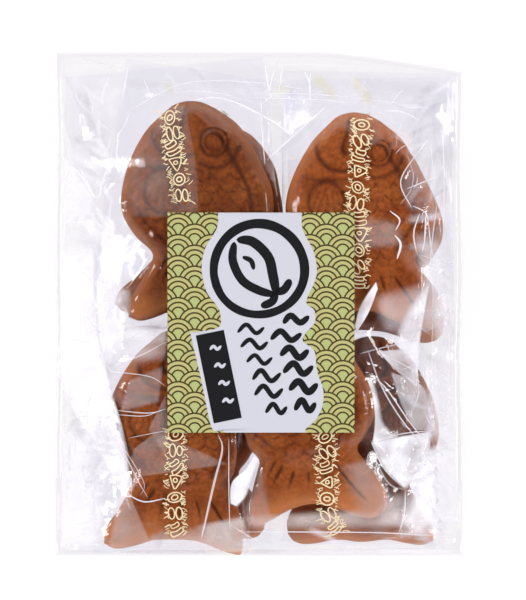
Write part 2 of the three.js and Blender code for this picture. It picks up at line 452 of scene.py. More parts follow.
def plain_surface(name, colour, roughness, specular):
    """One even colour, as printed ink and coated paper have."""
    m = blank(bpy.data.materials.new(name))
    face = node(
        m,
        "ShaderNodeBsdfPrincipled",
        {"Base Color": linear(colour), "Roughness": roughness, "Specular IOR Level": specular},
    )
    node(m, "ShaderNodeOutputMaterial", {"Surface": face.outputs[0]})
    return m


CRUST = baked_crust()
# The bag's film is stiffer than the wrappers', so its crinkles are wider and its shine is stronger.
BAG_FILM = clear_film("cast_film_bag", "#fbfafb", 0.035, 0.75, 0.07, 14.29)
WRAPPER_FILM = clear_film("cast_film_wrapper", "#fdfdff", 0.022, 0.55, 0.09, 9.09)
# Metallic-looking ink without metal in it: pale and half matt.
GOLD_INK = plain_surface("pale_gold_ink_on_film", "#f0ddb0", 0.45, 0.4)
# Cool white for milky film and painted glare, warm for painted sheen over the crust, grey for painted shade.
MILKY_GLARE_FILM = see_through_sheet("doubled_film_and_painted_glare", "#f2f0f5")
WARM_SHEEN_FILM = see_through_sheet("doubled_film_and_painted_sheen_over_the_crust", "#f6eee9")
SHADED_FILM = see_through_sheet("wrinkled_film_turned_from_the_light", "#a9a6ac")
YELLOW_FILM = see_through_sheet("print_seen_through_crimped_film", "#e2dc8c")
FAN_PAPER = fan_paper()
# The label's bare coating is a cool off-white, and its ink is matt and soaks up nearly all light.
PALE_PAPER = plain_surface("unprinted_coated_paper", "#bfbfc8", 0.5, 0.3)
BLACK_INK = plain_surface("black_brush_ink", "#111114", 0.6, 0.15)

# ------------------------------------------------------------------ the cakes

# A cake's outline in its own frame: how far from the tip of the head, and how far towards the back (+) or
# the belly (-).
NOSE = [(4.2, -10.0), (1.3, -6.0), (0.0, 0.0), (1.0, 6.0), (4.0, 11.5)]
BELLY = [(4.2, -10.0), (11.0, -17.6), (21.0, -24.0), (33.0, -28.6), (43.0, -29.3), (52.5, -25.0),
         (60.0, -18.8), (65.0, -20.0), (71.0, -23.5), (79.0, -29.2), (85.2, -30.0)]
BACK = [(4.0, 11.5), (11.0, 19.0), (19.0, 23.4), (29.0, 28.2), (39.0, 31.6), (49.0, 31.0), (57.0, 26.2),
        (62.0, 22.2), (67.0, 24.2), (75.0, 29.6), (82.0, 32.0), (87.5, 31.2)]
TAIL = [(85.2, -30.0), (87.4, -25.0), (86.2, -17.5), (83.2, -9.5), (82.0, -2.0), (83.2, 4.8), (86.4, 11.4),
        (89.6, 17.5), (91.2, 23.6), (90.4, 28.4), (87.5, 31.2)]
MOUTH = [(0.5, -0.6), (5.0, -1.8), (10.5, -3.6), (14.5, -5.2), (16.6, -4.2)]
MOUTH_CORNER = (15.8, -4.4)
JAW = [(10.5, -15.5), (14.5, -15.6), (18.6, -14.0), (22.2, -10.4), (23.6, -5.0), (22.6, -0.5)]
GILL = [(24.5, -21.0), (26.6, -17.0), (26.8, -9.0), (27.6, -1.0), (29.6, 4.5)]
EYE = (17.6, 9.6)
CHEEK_RADIUS = 10.2
TAIL_RAYS = [
    [(61.0, -11.4), (68.6, -16.4)],
    [(63.6, -8.8), (72.4, -14.8)],
    [(66.2, -4.4), (75.4, -8.6)],
    [(67.8, 0.8), (75.2, 0.2)],
    [(67.4, 6.6), (76.4, 9.0)],
    [(68.2, 12.4), (79.0, 19.2), (85.2, 24.2)],
]
SCALE_PITCH_ACROSS = 7.6
SCALE_PITCH_ALONG = 4.9
SCALE_RADIUS = 4.2
FIN_RAY_SPREAD = 11.0  # degrees from one ray of the side fin to the next
BAND_PITCH = 4.6  # from one ridge of the bands along back and belly to the next
CELLS_ALONG_CAKE = 124
CELLS_ACROSS_CAKE = 82
FACE_HALF = 10.6  # half the thickness at the body
TAIL_HALF = 6.2
SEAM_HALF = 0.7  # half the height of the side between the two faces' roundings
TAIL_TIP = 90.0  # the tail's end, from which its lift is measured
CAKE_FLOOR = 0.35  # no cake sinks lower than this


def groove_profile(distance, depth, width):
    return -depth * np.exp(-((distance / width) ** 2))


def eye_distance(u, v):
    return np.hypot(u - EYE[0], v - EYE[1])


def side_fin(u, v):
    """How far out a point is in the leaf-shaped side fin: 1 on its edge."""
    return np.hypot((u - 36.0) / 8.6, (v + 12.2) / 7.2)


def cheek_arc():
    """A line round the back of the eye."""
    angles = np.radians(np.linspace(-38, 78, 24))
    return np.column_stack([EYE[0] + CHEEK_RADIUS * np.cos(angles), EYE[1] + CHEEK_RADIUS * np.sin(angles)])


def head_relief(u, v):
    """Mouth, jaw, eye, cheek and gill, pressed in by the mould."""
    from_eye = eye_distance(u, v)
    relief = groove_profile(np.hypot(u - MOUTH_CORNER[0], v - MOUTH_CORNER[1]), 0.45, 1.8)
    lines = [
        (smooth_path(MOUTH), 1.0, 0.9),
        (smooth_path(JAW), 1.0, 0.95),
        (cheek_arc(), 0.85, 0.9),
        (smooth_path(GILL), 0.55, 0.9),
    ]
    for line, depth, width in lines:
        relief += groove_profile(path_distance(u, v, line)[0], depth, width)
    for radius, depth, width in ((5.4, 1.0, 0.75), (4.5, -0.55, 0.8), (3.6, 0.8, 0.6)):
        relief += groove_profile(from_eye - radius, depth, width)
    return relief + 0.5 * (1 - smoothstep(2.4, 3.4, from_eye))


def scale_relief(u, v, inset):
    """Round scales that overlap like roof tiles, each raised towards its tailward edge."""
    reach = overlapping_fans(v, u - 24.0, SCALE_PITCH_ACROSS, SCALE_PITCH_ALONG, SCALE_RADIUS)
    tile = groove_profile(reach - SCALE_RADIUS, 1.15, 0.7) + 0.5 * smoothstep(0.5, SCALE_RADIUS - 0.9, reach)
    inside = smoothstep(28.0, 30.0, u) * (1 - smoothstep(61.0, 64.0, u + 0.05 * np.abs(v)))
    inside *= smoothstep(10.6, 12.0, eye_distance(u, v)) * smoothstep(8.4, 10.0, inset)
    return tile * inside * smoothstep(0.9, 1.1, side_fin(u, v))


def fin_relief(u, v, inset, travel):
    """The side fin with its rays, and the ridged bands along back and belly."""
    leaf = side_fin(u, v)
    relief = groove_profile((leaf - 1.0) * 7.5, 0.9, 1.0)
    in_leaf = 1 - smoothstep(0.75, 0.95, leaf)
    fan_angle = np.degrees(np.arctan2(v + 10.5, u - 24.0))
    fin_rays = np.cos(np.radians(fan_angle * 360 / FIN_RAY_SPREAD))
    relief += in_leaf * 0.45 * fin_rays * smoothstep(27.5, 31.0, u)
    back_band = smoothstep(2.0, 6.0, v) * smoothstep(11.0, 15.0, u) * (1 - smoothstep(58.0, 62.0, u))
    belly_band = smoothstep(6.0, 12.0, -v) * smoothstep(40.0, 43.0, u) * (1 - smoothstep(56.0, 59.0, u))
    relief += groove_profile(inset - 8.6, 0.9, 1.0) * back_band
    relief += groove_profile(inset - 7.0, 0.8, 0.9) * belly_band
    in_band = smoothstep(2.6, 4.4, inset) * (1 - smoothstep(6.6, 7.8, inset))
    ridges = 0.38 * np.cos(2 * math.pi * travel / BAND_PITCH)
    return relief + ridges * in_band * np.maximum(back_band, belly_band)


def tail_relief(u, v):
    """The tail's rays: fine grooves, each with a low ridge beside it, that fade towards the tail's end."""
    relief = np.zeros(u.shape)
    for ray in TAIL_RAYS:
        distance, gone = path_distance(u, v, ray)
        length = path_steps(ray).sum()
        faded = smoothstep(0.0, 2.5, gone) * (1 - 0.8 * smoothstep(length - 5.0, length, gone))
        relief += (groove_profile(distance, 1.0, 0.6) + groove_profile(distance - 1.5, -0.35, 0.8)) * faded
    return relief


def mould_plan():
    """A grid over the fish's outline, from belly to back and from nose to tail, and the outline itself."""
    s = np.linspace(0, 1, CELLS_ACROSS_CAKE + 1)
    t = np.linspace(0, 1, CELLS_ALONG_CAKE + 1)
    nose, tail = (along_path(smooth_path(side), s) for side in (NOSE, TAIL))
    belly, back = (along_path(smooth_path(side), t) for side in (BELLY, BACK))
    s, t = s[:, None, None], t[None, :, None]
    corners = (1 - s) * ((1 - t) * nose[0] + t * tail[0]) + s * ((1 - t) * nose[-1] + t * tail[-1])
    plan = (1 - t) * nose[:, None] + t * tail[:, None] + (1 - s) * belly[None] + s * back[None] - corners
    back_and_nose = [smooth_path(side)[::-1][:-1] for side in (BACK, NOSE)]
    rim = np.vstack([*back_and_nose, smooth_path(BELLY)[:-1], smooth_path(TAIL)])
    return plan[..., 0], plan[..., 1], rim


def mould_shape():
    """One face of the mould over a grid: place in plan, height over the middle plane, painted groove shade
    and pale edges.
    """
    u, v, rim = mould_plan()
    inset, travel = path_distance(u, v, rim)
    half = TAIL_HALF + (FACE_HALF - TAIL_HALF) * (1 - smoothstep(50.0, 70.0, u)) * smoothstep(-14.0, 22.0, u)
    rounding = 6.4 + 4.0 * (1 - smoothstep(48.0, 66.0, u))
    edge = 1 - np.minimum(inset, rounding) / rounding
    height = SEAM_HALF + (half - SEAM_HALF) * (1 - edge**2.3) ** (1 / 2.1)
    relief = head_relief(u, v) + scale_relief(u, v, inset)
    relief += fin_relief(u, v, inset, travel) + tail_relief(u, v)
    relief *= smoothstep(0.6, 4.0, inset)
    height = height + relief + 0.16 * waves(u, v, 3, 9.0) * smoothstep(0.6, 3.0, inset)
    # Painted shade: the deeper the groove, the darker the crust is drawn there.
    groove_shade = np.clip(-relief / 1.1, 0, 1) * 0.85
    # Paler towards the rim and the tail: partly the crust's own pale thin edges, partly a painted highlight.
    pale_edge_and_highlight = (1 - smoothstep(0.0, 5.5, inset)) * 0.5 + 0.6 * smoothstep(70.0, 86.0, u)
    return u, v, height, groove_shade, np.clip(pale_edge_and_highlight, 0, 1)


def press_at_contacts(name, x, y):
    """Flattens a cake where it is pressed against its neighbour."""
    for first, second, (px, py), angle in CONTACTS:
        if name not in (first, second):
            continue
        side = 1 if name == first else -1
        nx, ny = side * math.cos(math.radians(angle)), side * math.sin(math.radians(angle))
        beyond = (x - px) * nx + (y - py) * ny + CONTACT_SOFTNESS + 0.3
        pressed = CONTACT_SOFTNESS * (1 - np.exp(-np.maximum(beyond, 0) / CONTACT_SOFTNESS))
        shift = np.where(beyond > 0, pressed - beyond, 0)
        x, y = x + shift * nx, y + shift * ny
    return x, y


def place_cake(name, number, u, v, z_out):
    """One cake's points in the bag, from its place in the mould and how far each point stands out."""
    cake = CAKES[name]
    over = -1 if cake.get("over") else 1
    u = u + 0.45 * waves(u, v, 20 + number, 70.0)
    v = v + 0.45 * waves(u, v, 40 + number, 70.0)
    swell = 1 + 0.025 * waves(u, v, 60 + number, 60.0, 4)
    v = v * over
    z = cake["z"] + over * z_out * swell * cake["scale"] + cake["tail"] * (u / TAIL_TIP) ** 2
    fork = np.exp(-((v / 11.0) ** 2)) * smoothstep(66.0, 82.0, u)
    u = u + 5.5 * cake.get("fill", 0.0) * fork
    turn = math.radians(cake["turn"])
    x = cake["x"] + cake["scale"] * (u * math.sin(turn) + v * math.cos(turn))
    y = cake["y"] - cake["scale"] * (u * math.cos(turn) - v * math.sin(turn))
    x, y = press_at_contacts(name, x, y)
    return np.column_stack([x, y, np.maximum(z, CAKE_FLOOR)])


def make_cakes():
    """Bakes eight cakes from the one mould; each comes out a little different."""
    u, v, height, groove_shade, pale_edge_and_highlight = mould_shape()
    made = {}
    for number, (name, cake) in enumerate(CAKES.items()):
        piece, i, j, is_top = slab("cake_" + name, CELLS_ALONG_CAKE, CELLS_ACROSS_CAKE)
        z_out = np.where(is_top, 1, -1) * height[j, i]
        points = place_cake(name, number, u[j, i], v[j, i], z_out)
        set_points(piece, *points.T)
        set_attribute(piece, "groove", groove_shade[j, i])
        set_attribute(piece, "edge", pale_edge_and_highlight[j, i])
        finish_piece(piece, CRUST)
        set_attribute(piece, "bake", np.full(len(i), cake["tone"]))
        faces_up = is_top != bool(cake.get("over"))
        made[name] = points[faces_up], points[~faces_up]
    return made


cake_points = make_cakes()

# ------------------------------------------------------------------ film

FAR = 1e3  # a height that stands for nothing above, or nothing below
WRAPPER_PASSES = 900  # of relaxing, until the film hangs still
BAG_PASSES = 1600


def drape(z, low, high, passes):
    """Relaxes a film held at its rim, kept between what it lies on and what lies on it."""
    z = np.clip(z, low, high)
    for _ in range(passes):
        mean = (z[:-2, 1:-1] + z[2:, 1:-1] + z[1:-1, :-2] + z[1:-1, 2:]) / 4
        z[1:-1, 1:-1] = np.clip(mean, low[1:-1, 1:-1], high[1:-1, 1:-1])
    return z


def cover(heights, i, j, shape, take):
    """The highest (or lowest) of some heights over each cell of a grid and the cells round it."""
    field = np.full(shape, -FAR if take is np.maximum else FAR)
    i, j = np.rint(i).astype(int), np.rint(j).astype(int)
    inside = (i >= 0) & (j >= 0) & (i < shape[1]) & (j < shape[0])
    take.at(field, (j[inside], i[inside]), heights[inside])
    for _ in range(2):
        wide = np.pad(field, 1, mode="edge")
        up_down = take(wide[:-2, 1:-1], wide[2:, 1:-1])
        field = take(field, take(up_down, take(wide[1:-1, :-2], wide[1:-1, 2:])))
    return field


def nearest_square(x, y, draw, cell):
    """The squared distance to the nearest of some points strewn about one cell apart."""
    low_x, high_x, low_y, high_y = x.min() - cell, x.max() + cell, y.min() - cell, y.max() + cell
    count = int((high_x - low_x) * (high_y - low_y) / cell**2)
    nearest = np.full(x.shape, np.inf)
    for _ in range(count):
        sx, sy = draw.uniform(low_x, high_x), draw.uniform(low_y, high_y)
        nearest = np.minimum(nearest, (x - sx) ** 2 + (y - sy) ** 2)
    return nearest


def crumple(x, y, seed, cell):
    """Stiff film's flat facets with sharp edges between them, a few tenths up and down."""
    draw = np.random.default_rng(seed)
    return (nearest_square(x, y, draw, cell) - nearest_square(x, y, draw, cell)) / cell**2


def crease(x, y, route, height, width):
    """One sharp fold along a route, fading out at its ends."""
    distance, travel = path_distance(x, y, route)
    share = travel / path_steps(route).sum()
    fade = smoothstep(0.0, 0.25, share) * (1 - smoothstep(0.75, 1.0, share))
    return height * np.exp(-distance / width) * fade


def in_wrapper(wrap, x, y):
    """A place in plan as its wrapper has it: how far right of the middle line, and how far along it."""
    turn = math.radians(wrap["turn"])
    right, down = x - wrap["x"], wrap["y"] - y
    return right * math.cos(turn) - down * math.sin(turn), down * math.cos(turn) + right * math.sin(turn)


def from_wrapper(wrap, across, along):
    """The place in plan of a point of a wrapper."""
    turn = math.radians(wrap["turn"])
    x = wrap["x"] + along * math.sin(turn) + across * math.cos(turn)
    y = wrap["y"] - along * math.cos(turn) + across * math.sin(turn)
    return x, y


def wrapper_seam(across, along, middle):
    """The height of a wrapper's folded rim: level close to the cake, and sagging or rising further out."""
    beside = np.maximum(0, np.abs(across + 2) - 32)
    beyond = np.maximum(0, np.maximum(13 - along, along - 96))
    sag = 0.5 if middle > BETWEEN_LAYERS else -0.12
    return middle - sag * np.hypot(beside, beyond)


def cake_in_wrapper(name, wrap, shape):
    """The cake's upper and under side over each cell of its wrapper."""
    sides = []
    for points, take in zip(cake_points[name], (np.maximum, np.minimum)):
        across, along = in_wrapper(wrap, points[:, 0], points[:, 1])
        i, j = (across + wrap["left"]) / wrap["cell"], along / wrap["cell"]
        sides.append(cover(points[:, 2], i, j, shape, take))
    return sides


def wrapper_faces(name, number, wrap, across, along, x, y):
    """The heights of a wrapper's upper and under film."""
    over, under = cake_in_wrapper(name, wrap, x.shape)
    seam = wrapper_seam(across, along, CAKES[name]["z"])
    from_side = np.minimum(across + wrap["left"], wrap["right"] - across)
    from_end = np.minimum(along, wrap["length"] - along)
    gap = 0.12 + 0.5 * smoothstep(7.0, 10.0, from_end) * smoothstep(0, 3.0, from_side)
    has_over, has_under = over > 0, under < 0.9 * FAR
    no_limit = np.full(x.shape, FAR)
    top = drape(seam + gap, np.where(has_over, over + 0.15, seam + gap), no_limit, WRAPPER_PASSES)
    bottom = drape(seam - gap, -no_limit, np.where(has_under, under - 0.1, seam - gap), WRAPPER_PASSES)
    slack = 1.5 * crumple(x, y, 500 + number, 18.0) + 0.25 * crumple(x, y, 600 + number, 7.0)
    slack += 0.4 * waves(x, y, 700 + number, 30.0)
    slack *= smoothstep(0.0, 9.0, from_side) * smoothstep(5.0, 14.0, from_end)
    crimp = 0.16 * np.cos(2 * math.pi * along / 1.9) * (1 - smoothstep(6.0, 8.0, from_end))
    top = np.maximum(top + slack, np.where(has_over, over + 0.15, -FAR)) + crimp
    bottom = np.minimum(bottom - 0.5 * slack, np.where(has_under, under - 0.1, FAR)) + crimp
    bottom = np.maximum(np.minimum(bottom, top - 0.1), 0.25)
    return np.minimum(np.maximum(top, bottom + 0.1), BAG_CREST - 0.4), bottom


def make_wrapper(name, number):
    """A cake's own film wrapper: folded at its sides, crimped at both ends, loose over the cake."""
    wrap = WRAPPERS[name]
    cells_x = round((wrap["left"] + wrap["right"]) / wrap["cell"])
    cells_y = round(wrap["length"] / wrap["cell"])
    piece, i, j, is_top = slab("wrapper_" + name, cells_x, cells_y)
    across, along = np.meshgrid(
        np.linspace(-wrap["left"], wrap["right"], cells_x + 1), np.linspace(0, wrap["length"], cells_y + 1)
    )
    wander = 0.5 * waves(along, across, 300 + number, 60.0)
    x, y = from_wrapper(wrap, across * (1 + 0.01 * wander), along)
    top, bottom = wrapper_faces(name, number, wrap, across, along, x, y)
    set_points(piece, x[j, i], y[j, i], np.where(is_top, top[j, i], bottom[j, i]))
    finish_piece(piece, WRAPPER_FILM)
    return dict(wrap, x_grid=x, y_grid=y, top=top, bottom=bottom)


wrappers = {name: make_wrapper(name, number) for number, name in enumerate(WRAPPERS)}


def label_height(x, y):
    """The label's underside, which sinks a little between the cakes."""
    across, along = (x - LABEL_X) / LABEL_HALF_WIDTH, (y - LABEL_Y) / LABEL_HALF_LENGTH
    sag = LABEL_SAG * np.maximum(0, 1 - across**2) * np.maximum(0, 1 - along**2)
    return LABEL_CREST - LABEL_THICKNESS - sag


BAG_CELLS_X = 192
BAG_CELLS_Y = 236
# Sharp folds in the front film: route, height and half-width.
FOLDS = [
    ([(-27.6, 82), (-18, 82.4), (-7.6, 80.2), (6.4, 73), (13, 66)], 1, 0.9),
    ([(0.4, 82), (1, 70), (2, 55.4)], 0.9, 0.8),
    ([(62.4, 59.4), (56.4, 48.2), (61.2, 37.4)], 0.7, 0.9),
    ([(27, 78), (5.6, 59)], 0.9, 0.9),
    ([(7, 97), (3.6, 83)], 0.9, 0.7),
    ([(11, 95), (8.8, 84)], 0.8, 0.7),
    ([(17.4, 93), (19.6, 81.5)], 0.8, 0.7),
    ([(20.6, 93), (21.2, 80.5)], 0.9, 0.7),
    ([(-82, 64), (-64.8, 41.4), (-57.6, 58)], 1.2, 1.2),
    ([(-66.4, 20), (-63.6, -11.8), (-58.4, -35.8), (-47.6, -76)], 1.4, 1.4),
    ([(65.2, 20), (63.6, -6.6), (65.2, -34)], 1.5, 1.6),
    ([(71, 76), (72.4, 44)], 0.9, 0.8),
    ([(69.6, 8), (69.6, -46)], 0.8, 0.8),
    ([(45.2, -52.6), (70.4, -50.6)], 1.1, 1.2),
    ([(45.2, -52.6), (59.6, -73)], 1.1, 1.2),
    ([(70.4, -50.6), (59.6, -73)], 0.9, 1),
    ([(43.2, -19), (61.6, -41.4), (73, -44)], 1.2, 1),
    ([(48.4, -12), (62.4, -38.6)], 1, 0.9),
    ([(59.6, -72), (75, -64)], 0.8, 0.9),
    ([(59.6, -72), (72, -84)], 0.8, 0.9),
    ([(-62, -25), (-38, -13.5)], 0.9, 0.9),
    ([(-60, -20), (-44, -9)], 0.7, 0.8),
    ([(60, 42), (66, 30), (63, 20)], 0.9, 0.7),
    ([(63, 43), (68, 22)], 0.9, 0.7),
    ([(57, 40), (61, 24)], 0.7, 0.6),
]


def top_drop(x):
    """How far the bag's top edge has fallen at an X: it is level on the left and falls on the right."""
    past = np.maximum(0, (x - TOP_DROP_START) / (BAG_WIDTH / 2 - TOP_DROP_START))
    return TOP_CORNER_DROP * past**TOP_DROP_CURVE


def bag_plan(i, j):
    """The place in plan of a point of the bag's grid."""
    s, t = i / BAG_CELLS_X, j / BAG_CELLS_Y
    ripple = SIDE_RIPPLE * (0.5 + 0.5 * np.cos(2 * math.pi * 2.5 * t))
    x = (s - 0.5) * (BAG_WIDTH - 2 * ripple * np.abs(2 * s - 1) ** 4)
    return x, -BAG_LENGTH / 2 + t * (BAG_LENGTH / 2 - top_drop(x) + BAG_LENGTH / 2)


def in_bag(x, y):
    """A place in plan as a place on the bag's grid."""
    i = (x / BAG_WIDTH + 0.5) * BAG_CELLS_X
    return i, (y + BAG_LENGTH / 2) / (BAG_LENGTH - top_drop(x)) * BAG_CELLS_Y


def rim_height(y):
    """How high the two films meet at the sealed rim."""
    near_foot = 1 - smoothstep(-BAG_LENGTH / 2, FOOT_RIM_REACH - BAG_LENGTH / 2, y)
    return RIM_HEIGHT + (FOOT_RIM_HEIGHT - RIM_HEIGHT) * near_foot


def wrapped_cakes(shape):
    """The wrappers' upper and under side over each cell of the bag."""
    over, under = np.full(shape, -FAR), np.full(shape, FAR)
    for sheet in wrappers.values():
        i, j = in_bag(sheet["x_grid"].ravel(), sheet["y_grid"].ravel())
        over = np.maximum(over, cover(sheet["top"].ravel(), i, j, shape, np.maximum))
        under = np.minimum(under, cover(sheet["bottom"].ravel(), i, j, shape, np.minimum))
    return over + 0.2, np.maximum(under - 0.15, 0.06)


def bag_faces(x, y, from_rim):
    """The heights of the bag's front and back film."""
    rim = rim_height(y)
    over, under = wrapped_cakes(x.shape)
    sealed = from_rim < SEAL_WIDTH
    near_x = np.abs(x - LABEL_X) < LABEL_HALF_WIDTH + 1.2
    near_y = np.abs(y - LABEL_Y) < LABEL_HALF_LENGTH + 1.2
    ceiling = np.where(near_x & near_y, label_height(x, y) - 0.12, FAR)
    over = np.minimum(np.where(sealed, rim + HALF_SEAL, over), ceiling)
    top = drape(rim + HALF_SEAL, over, np.where(sealed, rim + HALF_SEAL, ceiling), BAG_PASSES)
    low, high = (np.where(sealed, rim - HALF_SEAL, limit) for limit in (TABLE_GAP, under))
    bottom = drape(rim - HALF_SEAL, low, high, BAG_PASSES)
    held = smoothstep(SEAL_WIDTH, 9.0, from_rim)
    free = smoothstep(0.0, 2.5, top - over) * 0.75 + 0.25
    slack = 3.0 * crumple(x, y, 11, 22.0) + 0.5 * crumple(x, y, 12, 9.0) + 0.4 * waves(x, y, 13, 60.0)
    folds = sum(crease(x, y, route, height, width) for route, height, width in FOLDS)
    top = np.maximum(top + held * (free * slack + folds), over)
    top = np.minimum(top, np.minimum(ceiling, BAG_CREST - 0.2))
    bottom = np.clip(bottom - 0.4 * held * slack, TABLE_GAP, np.minimum(under, top - 0.2))
    return top, np.where(sealed, rim - HALF_SEAL, bottom)


def make_bag():
    """The outer bag: both films draped over the wrapped cakes and sealed together at the rim."""
    piece, i, j, is_top = slab("bag_film", BAG_CELLS_X, BAG_CELLS_Y)
    across, along = np.meshgrid(np.arange(BAG_CELLS_X + 1), np.arange(BAG_CELLS_Y + 1))
    x, y = bag_plan(across, along)
    from_rim = np.minimum(
        np.minimum(across, BAG_CELLS_X - across) * BAG_WIDTH / BAG_CELLS_X,
        np.minimum(along, BAG_CELLS_Y - along) * BAG_LENGTH / BAG_CELLS_Y,
    )
    top, bottom = bag_faces(x, y, from_rim)
    set_points(piece, x[j, i], y[j, i], np.where(is_top, top[j, i], bottom[j, i]))
    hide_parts("bag")
    finish_piece(piece, BAG_FILM)
    return top


bag_top = make_bag()


def on_wrapper(name, side, lift):
    """Gives the height just off a wrapper's upper or under film at a place in plan."""
    sheet = wrappers[name]

    def height(x, y):
        across, along = in_wrapper(sheet, x, y)
        i, j = (across + sheet["left"]) / sheet["cell"], along / sheet["cell"]
        return between_cells(sheet[side], i, j) + lift

    return height


def on_bag(lift):
    """Gives the height just off the bag's front film at a place in plan."""
    return lambda x, y: between_cells(bag_top, *in_bag(x, y)) + lift


def on_label(lift):
    """Gives the height just off the label's paper at a place in plan."""
    return lambda x, y: label_height(x, y) + GLUE + LABEL_PAPER + lift


# ------------------------------------------------------------------ print, as thin strokes of ink


def stroke_points(route, width, across, along, blunt):
    """Places on a brush stroke: across from -1 to 1 and along from 0 to 1; blunt rounds its ends off."""
    path = smooth_path(route, 16) if len(route) > 2 else np.array(route, dtype=float)
    middle = along_path(path, along)
    ahead = heading(path, along, 0.01)
    swell = 1.0 if blunt is None else (1 - np.abs(2 * along - 1) ** blunt) ** 0.5 + 0.02
    half = (width(along) if callable(width) else width) / 2 * across * swell
    return middle[:, 0] - ahead[:, 1] * half, middle[:, 1] + ahead[:, 0] * half


def lay_strokes(name, strokes, cells_across, cells_along, height, thickness):
    """One piece for many strokes: each is a thin slab bent along its own route."""
    piece, i, j, is_top, which = slab_row(name, cells_across, cells_along, len(strokes))
    across, along = 2 * i / cells_across - 1, j / cells_along
    x, y = np.zeros(len(i)), np.zeros(len(i))
    for number, (route, width, blunt) in enumerate(strokes):
        mine = which == number
        x[mine], y[mine] = stroke_points(route, width, across[mine], along[mine], blunt)
    x, y = keep_in_bag(x, y)
    set_points(piece, x, y, np.maximum(height(x, y), 0.06) + np.where(is_top, thickness, 0.0))
    return piece


# The middle line of each front wrapper's printed strip.
STRIPS = {
    "upper_left": [(-36.4, 77.2), (-34.4, 69.0), (-34.4, 60.6), (-32.4, 53.0), (-31.2, 46.2), (-29.6, 36.0)],
    "upper_right": [(40.6, 74.4), (41.2, 67.8), (40, 62), (39.6, 49.4), (38.8, 37.4), (40, 31), (39.2, 5.4)],
    "lower_left": [(-33.2, -49.0), (-33.0, -62.0), (-33.6, -78.0), (-33.0, -95.0)],
    "lower_middle": [
        (25.8, -50.0), (27.2, -58.6), (26.4, -64.6), (27.6, -72.2),
        (27.2, -79.0), (28.6, -87.4), (31.2, -91.6), (33.0, -96.2),
    ],
}
MOTIF_PITCH = 6.3
SPARKS_PER_MOTIF = 16
STRIP_INK = 0.05  # how thick the print on the film is drawn


def motif_outlines(kind):
    """One plain figure of the strip, about 6 mm across, as closed outlines round its middle."""
    angles = np.radians(np.linspace(0, 360, 9))
    rounds = np.column_stack([np.cos(angles), np.sin(angles)])
    if kind == 0:
        return [rounds * (2.9, 2.3), rounds * (1.3, 0.9)]
    if kind == 1:
        return [rounds * (1.3, 2.7) - (1.5, 0.0), rounds * (1.3, 2.4) + (1.6, 0.3)]
    if kind == 2:
        upper = [(-2.8, 0.4), (-2.6, 2.2), (0, 2.6), (2.8, 2), (2.6, 0.6), (0, 1), (-2.8, 0.4)]
        lower = [(-1.8, -2.4), (-1.6, -0.8), (0.4, -0.6), (2.2, -1), (2, -2.6), (0, -2.2), (-1.8, -2.4)]
        return [np.array(upper), np.array(lower)]
    return [
        np.array([(-2.9, -2.0), (-0.4, 2.4), (0.8, 2.2), (2.9, -1.8), (0.2, -2.4), (-2.9, -2.0)]),
        rounds * (0.9, 0.8) + (0.0, -0.6),
    ]


def spark(draw, middle, ahead, side):
    """One fine hair of ink that points away from the strip."""
    hand = draw.choice([-1, 1])
    start = middle + side * hand * draw.uniform(2.0, 3.2) + ahead * draw.uniform(-3.2, 3.2)
    lean = draw.uniform(-0.9, 0.9)
    end = start + (side * hand + ahead * lean) * draw.uniform(0.8, 2.4)
    bow = (start + end) / 2 + ahead * draw.uniform(-0.5, 0.5)
    return [start, bow, end], draw.uniform(0.24, 0.4), None


def strip_strokes(route, seed):
    """A chain of plain outlined figures with fine sparks to both sides."""
    draw = np.random.default_rng(seed)
    path = smooth_path(route, 16)
    length = path_steps(path).sum()
    figures, sparks = [], []
    for number in range(max(1, int(length / MOTIF_PITCH))):
        at = np.array([(number + 0.5) * MOTIF_PITCH / length])
        middle, ahead = along_path(path, at)[0], heading(path, at, 0.02)[0]
        side = np.array([-ahead[1], ahead[0]])
        tilt = math.radians(draw.uniform(-40, 40))
        turn = np.array([[math.cos(tilt), math.sin(tilt)], [-math.sin(tilt), math.cos(tilt)]])
        for outline in motif_outlines(number % 4):
            turned = outline @ turn * draw.uniform(0.78, 1.12, 2)
            placed = middle + turned[:, :1] * side + turned[:, 1:] * ahead
            figures.append((placed, draw.uniform(0.44, 0.6), None))
        sparks += [spark(draw, middle, ahead, side) for _ in range(SPARKS_PER_MOTIF)]
    return figures, sparks


def make_strips():
    """Each wrapper's strip: on the upper film in front, and straight down the under film behind."""
    for number, (name, sheet) in enumerate(wrappers.items()):
        if name in STRIPS:
            route, height = STRIPS[name], on_wrapper(name, "top", 0.04)
        else:
            route = np.column_stack(from_wrapper(sheet, 0.0, np.linspace(14, sheet["length"] - 12, 6)))
            height = on_wrapper(name, "bottom", -0.1)
        figures, sparks = strip_strokes(route, 900 + number)
        for kind, strokes, cells in (("figures", figures, 20), ("sparks", sparks, 3)):
            piece = lay_strokes(f"strip_{kind}_{name}", strokes, 1, cells, height, STRIP_INK)
            finish_piece(piece, GOLD_INK, SHARP_EDGE)


make_strips()
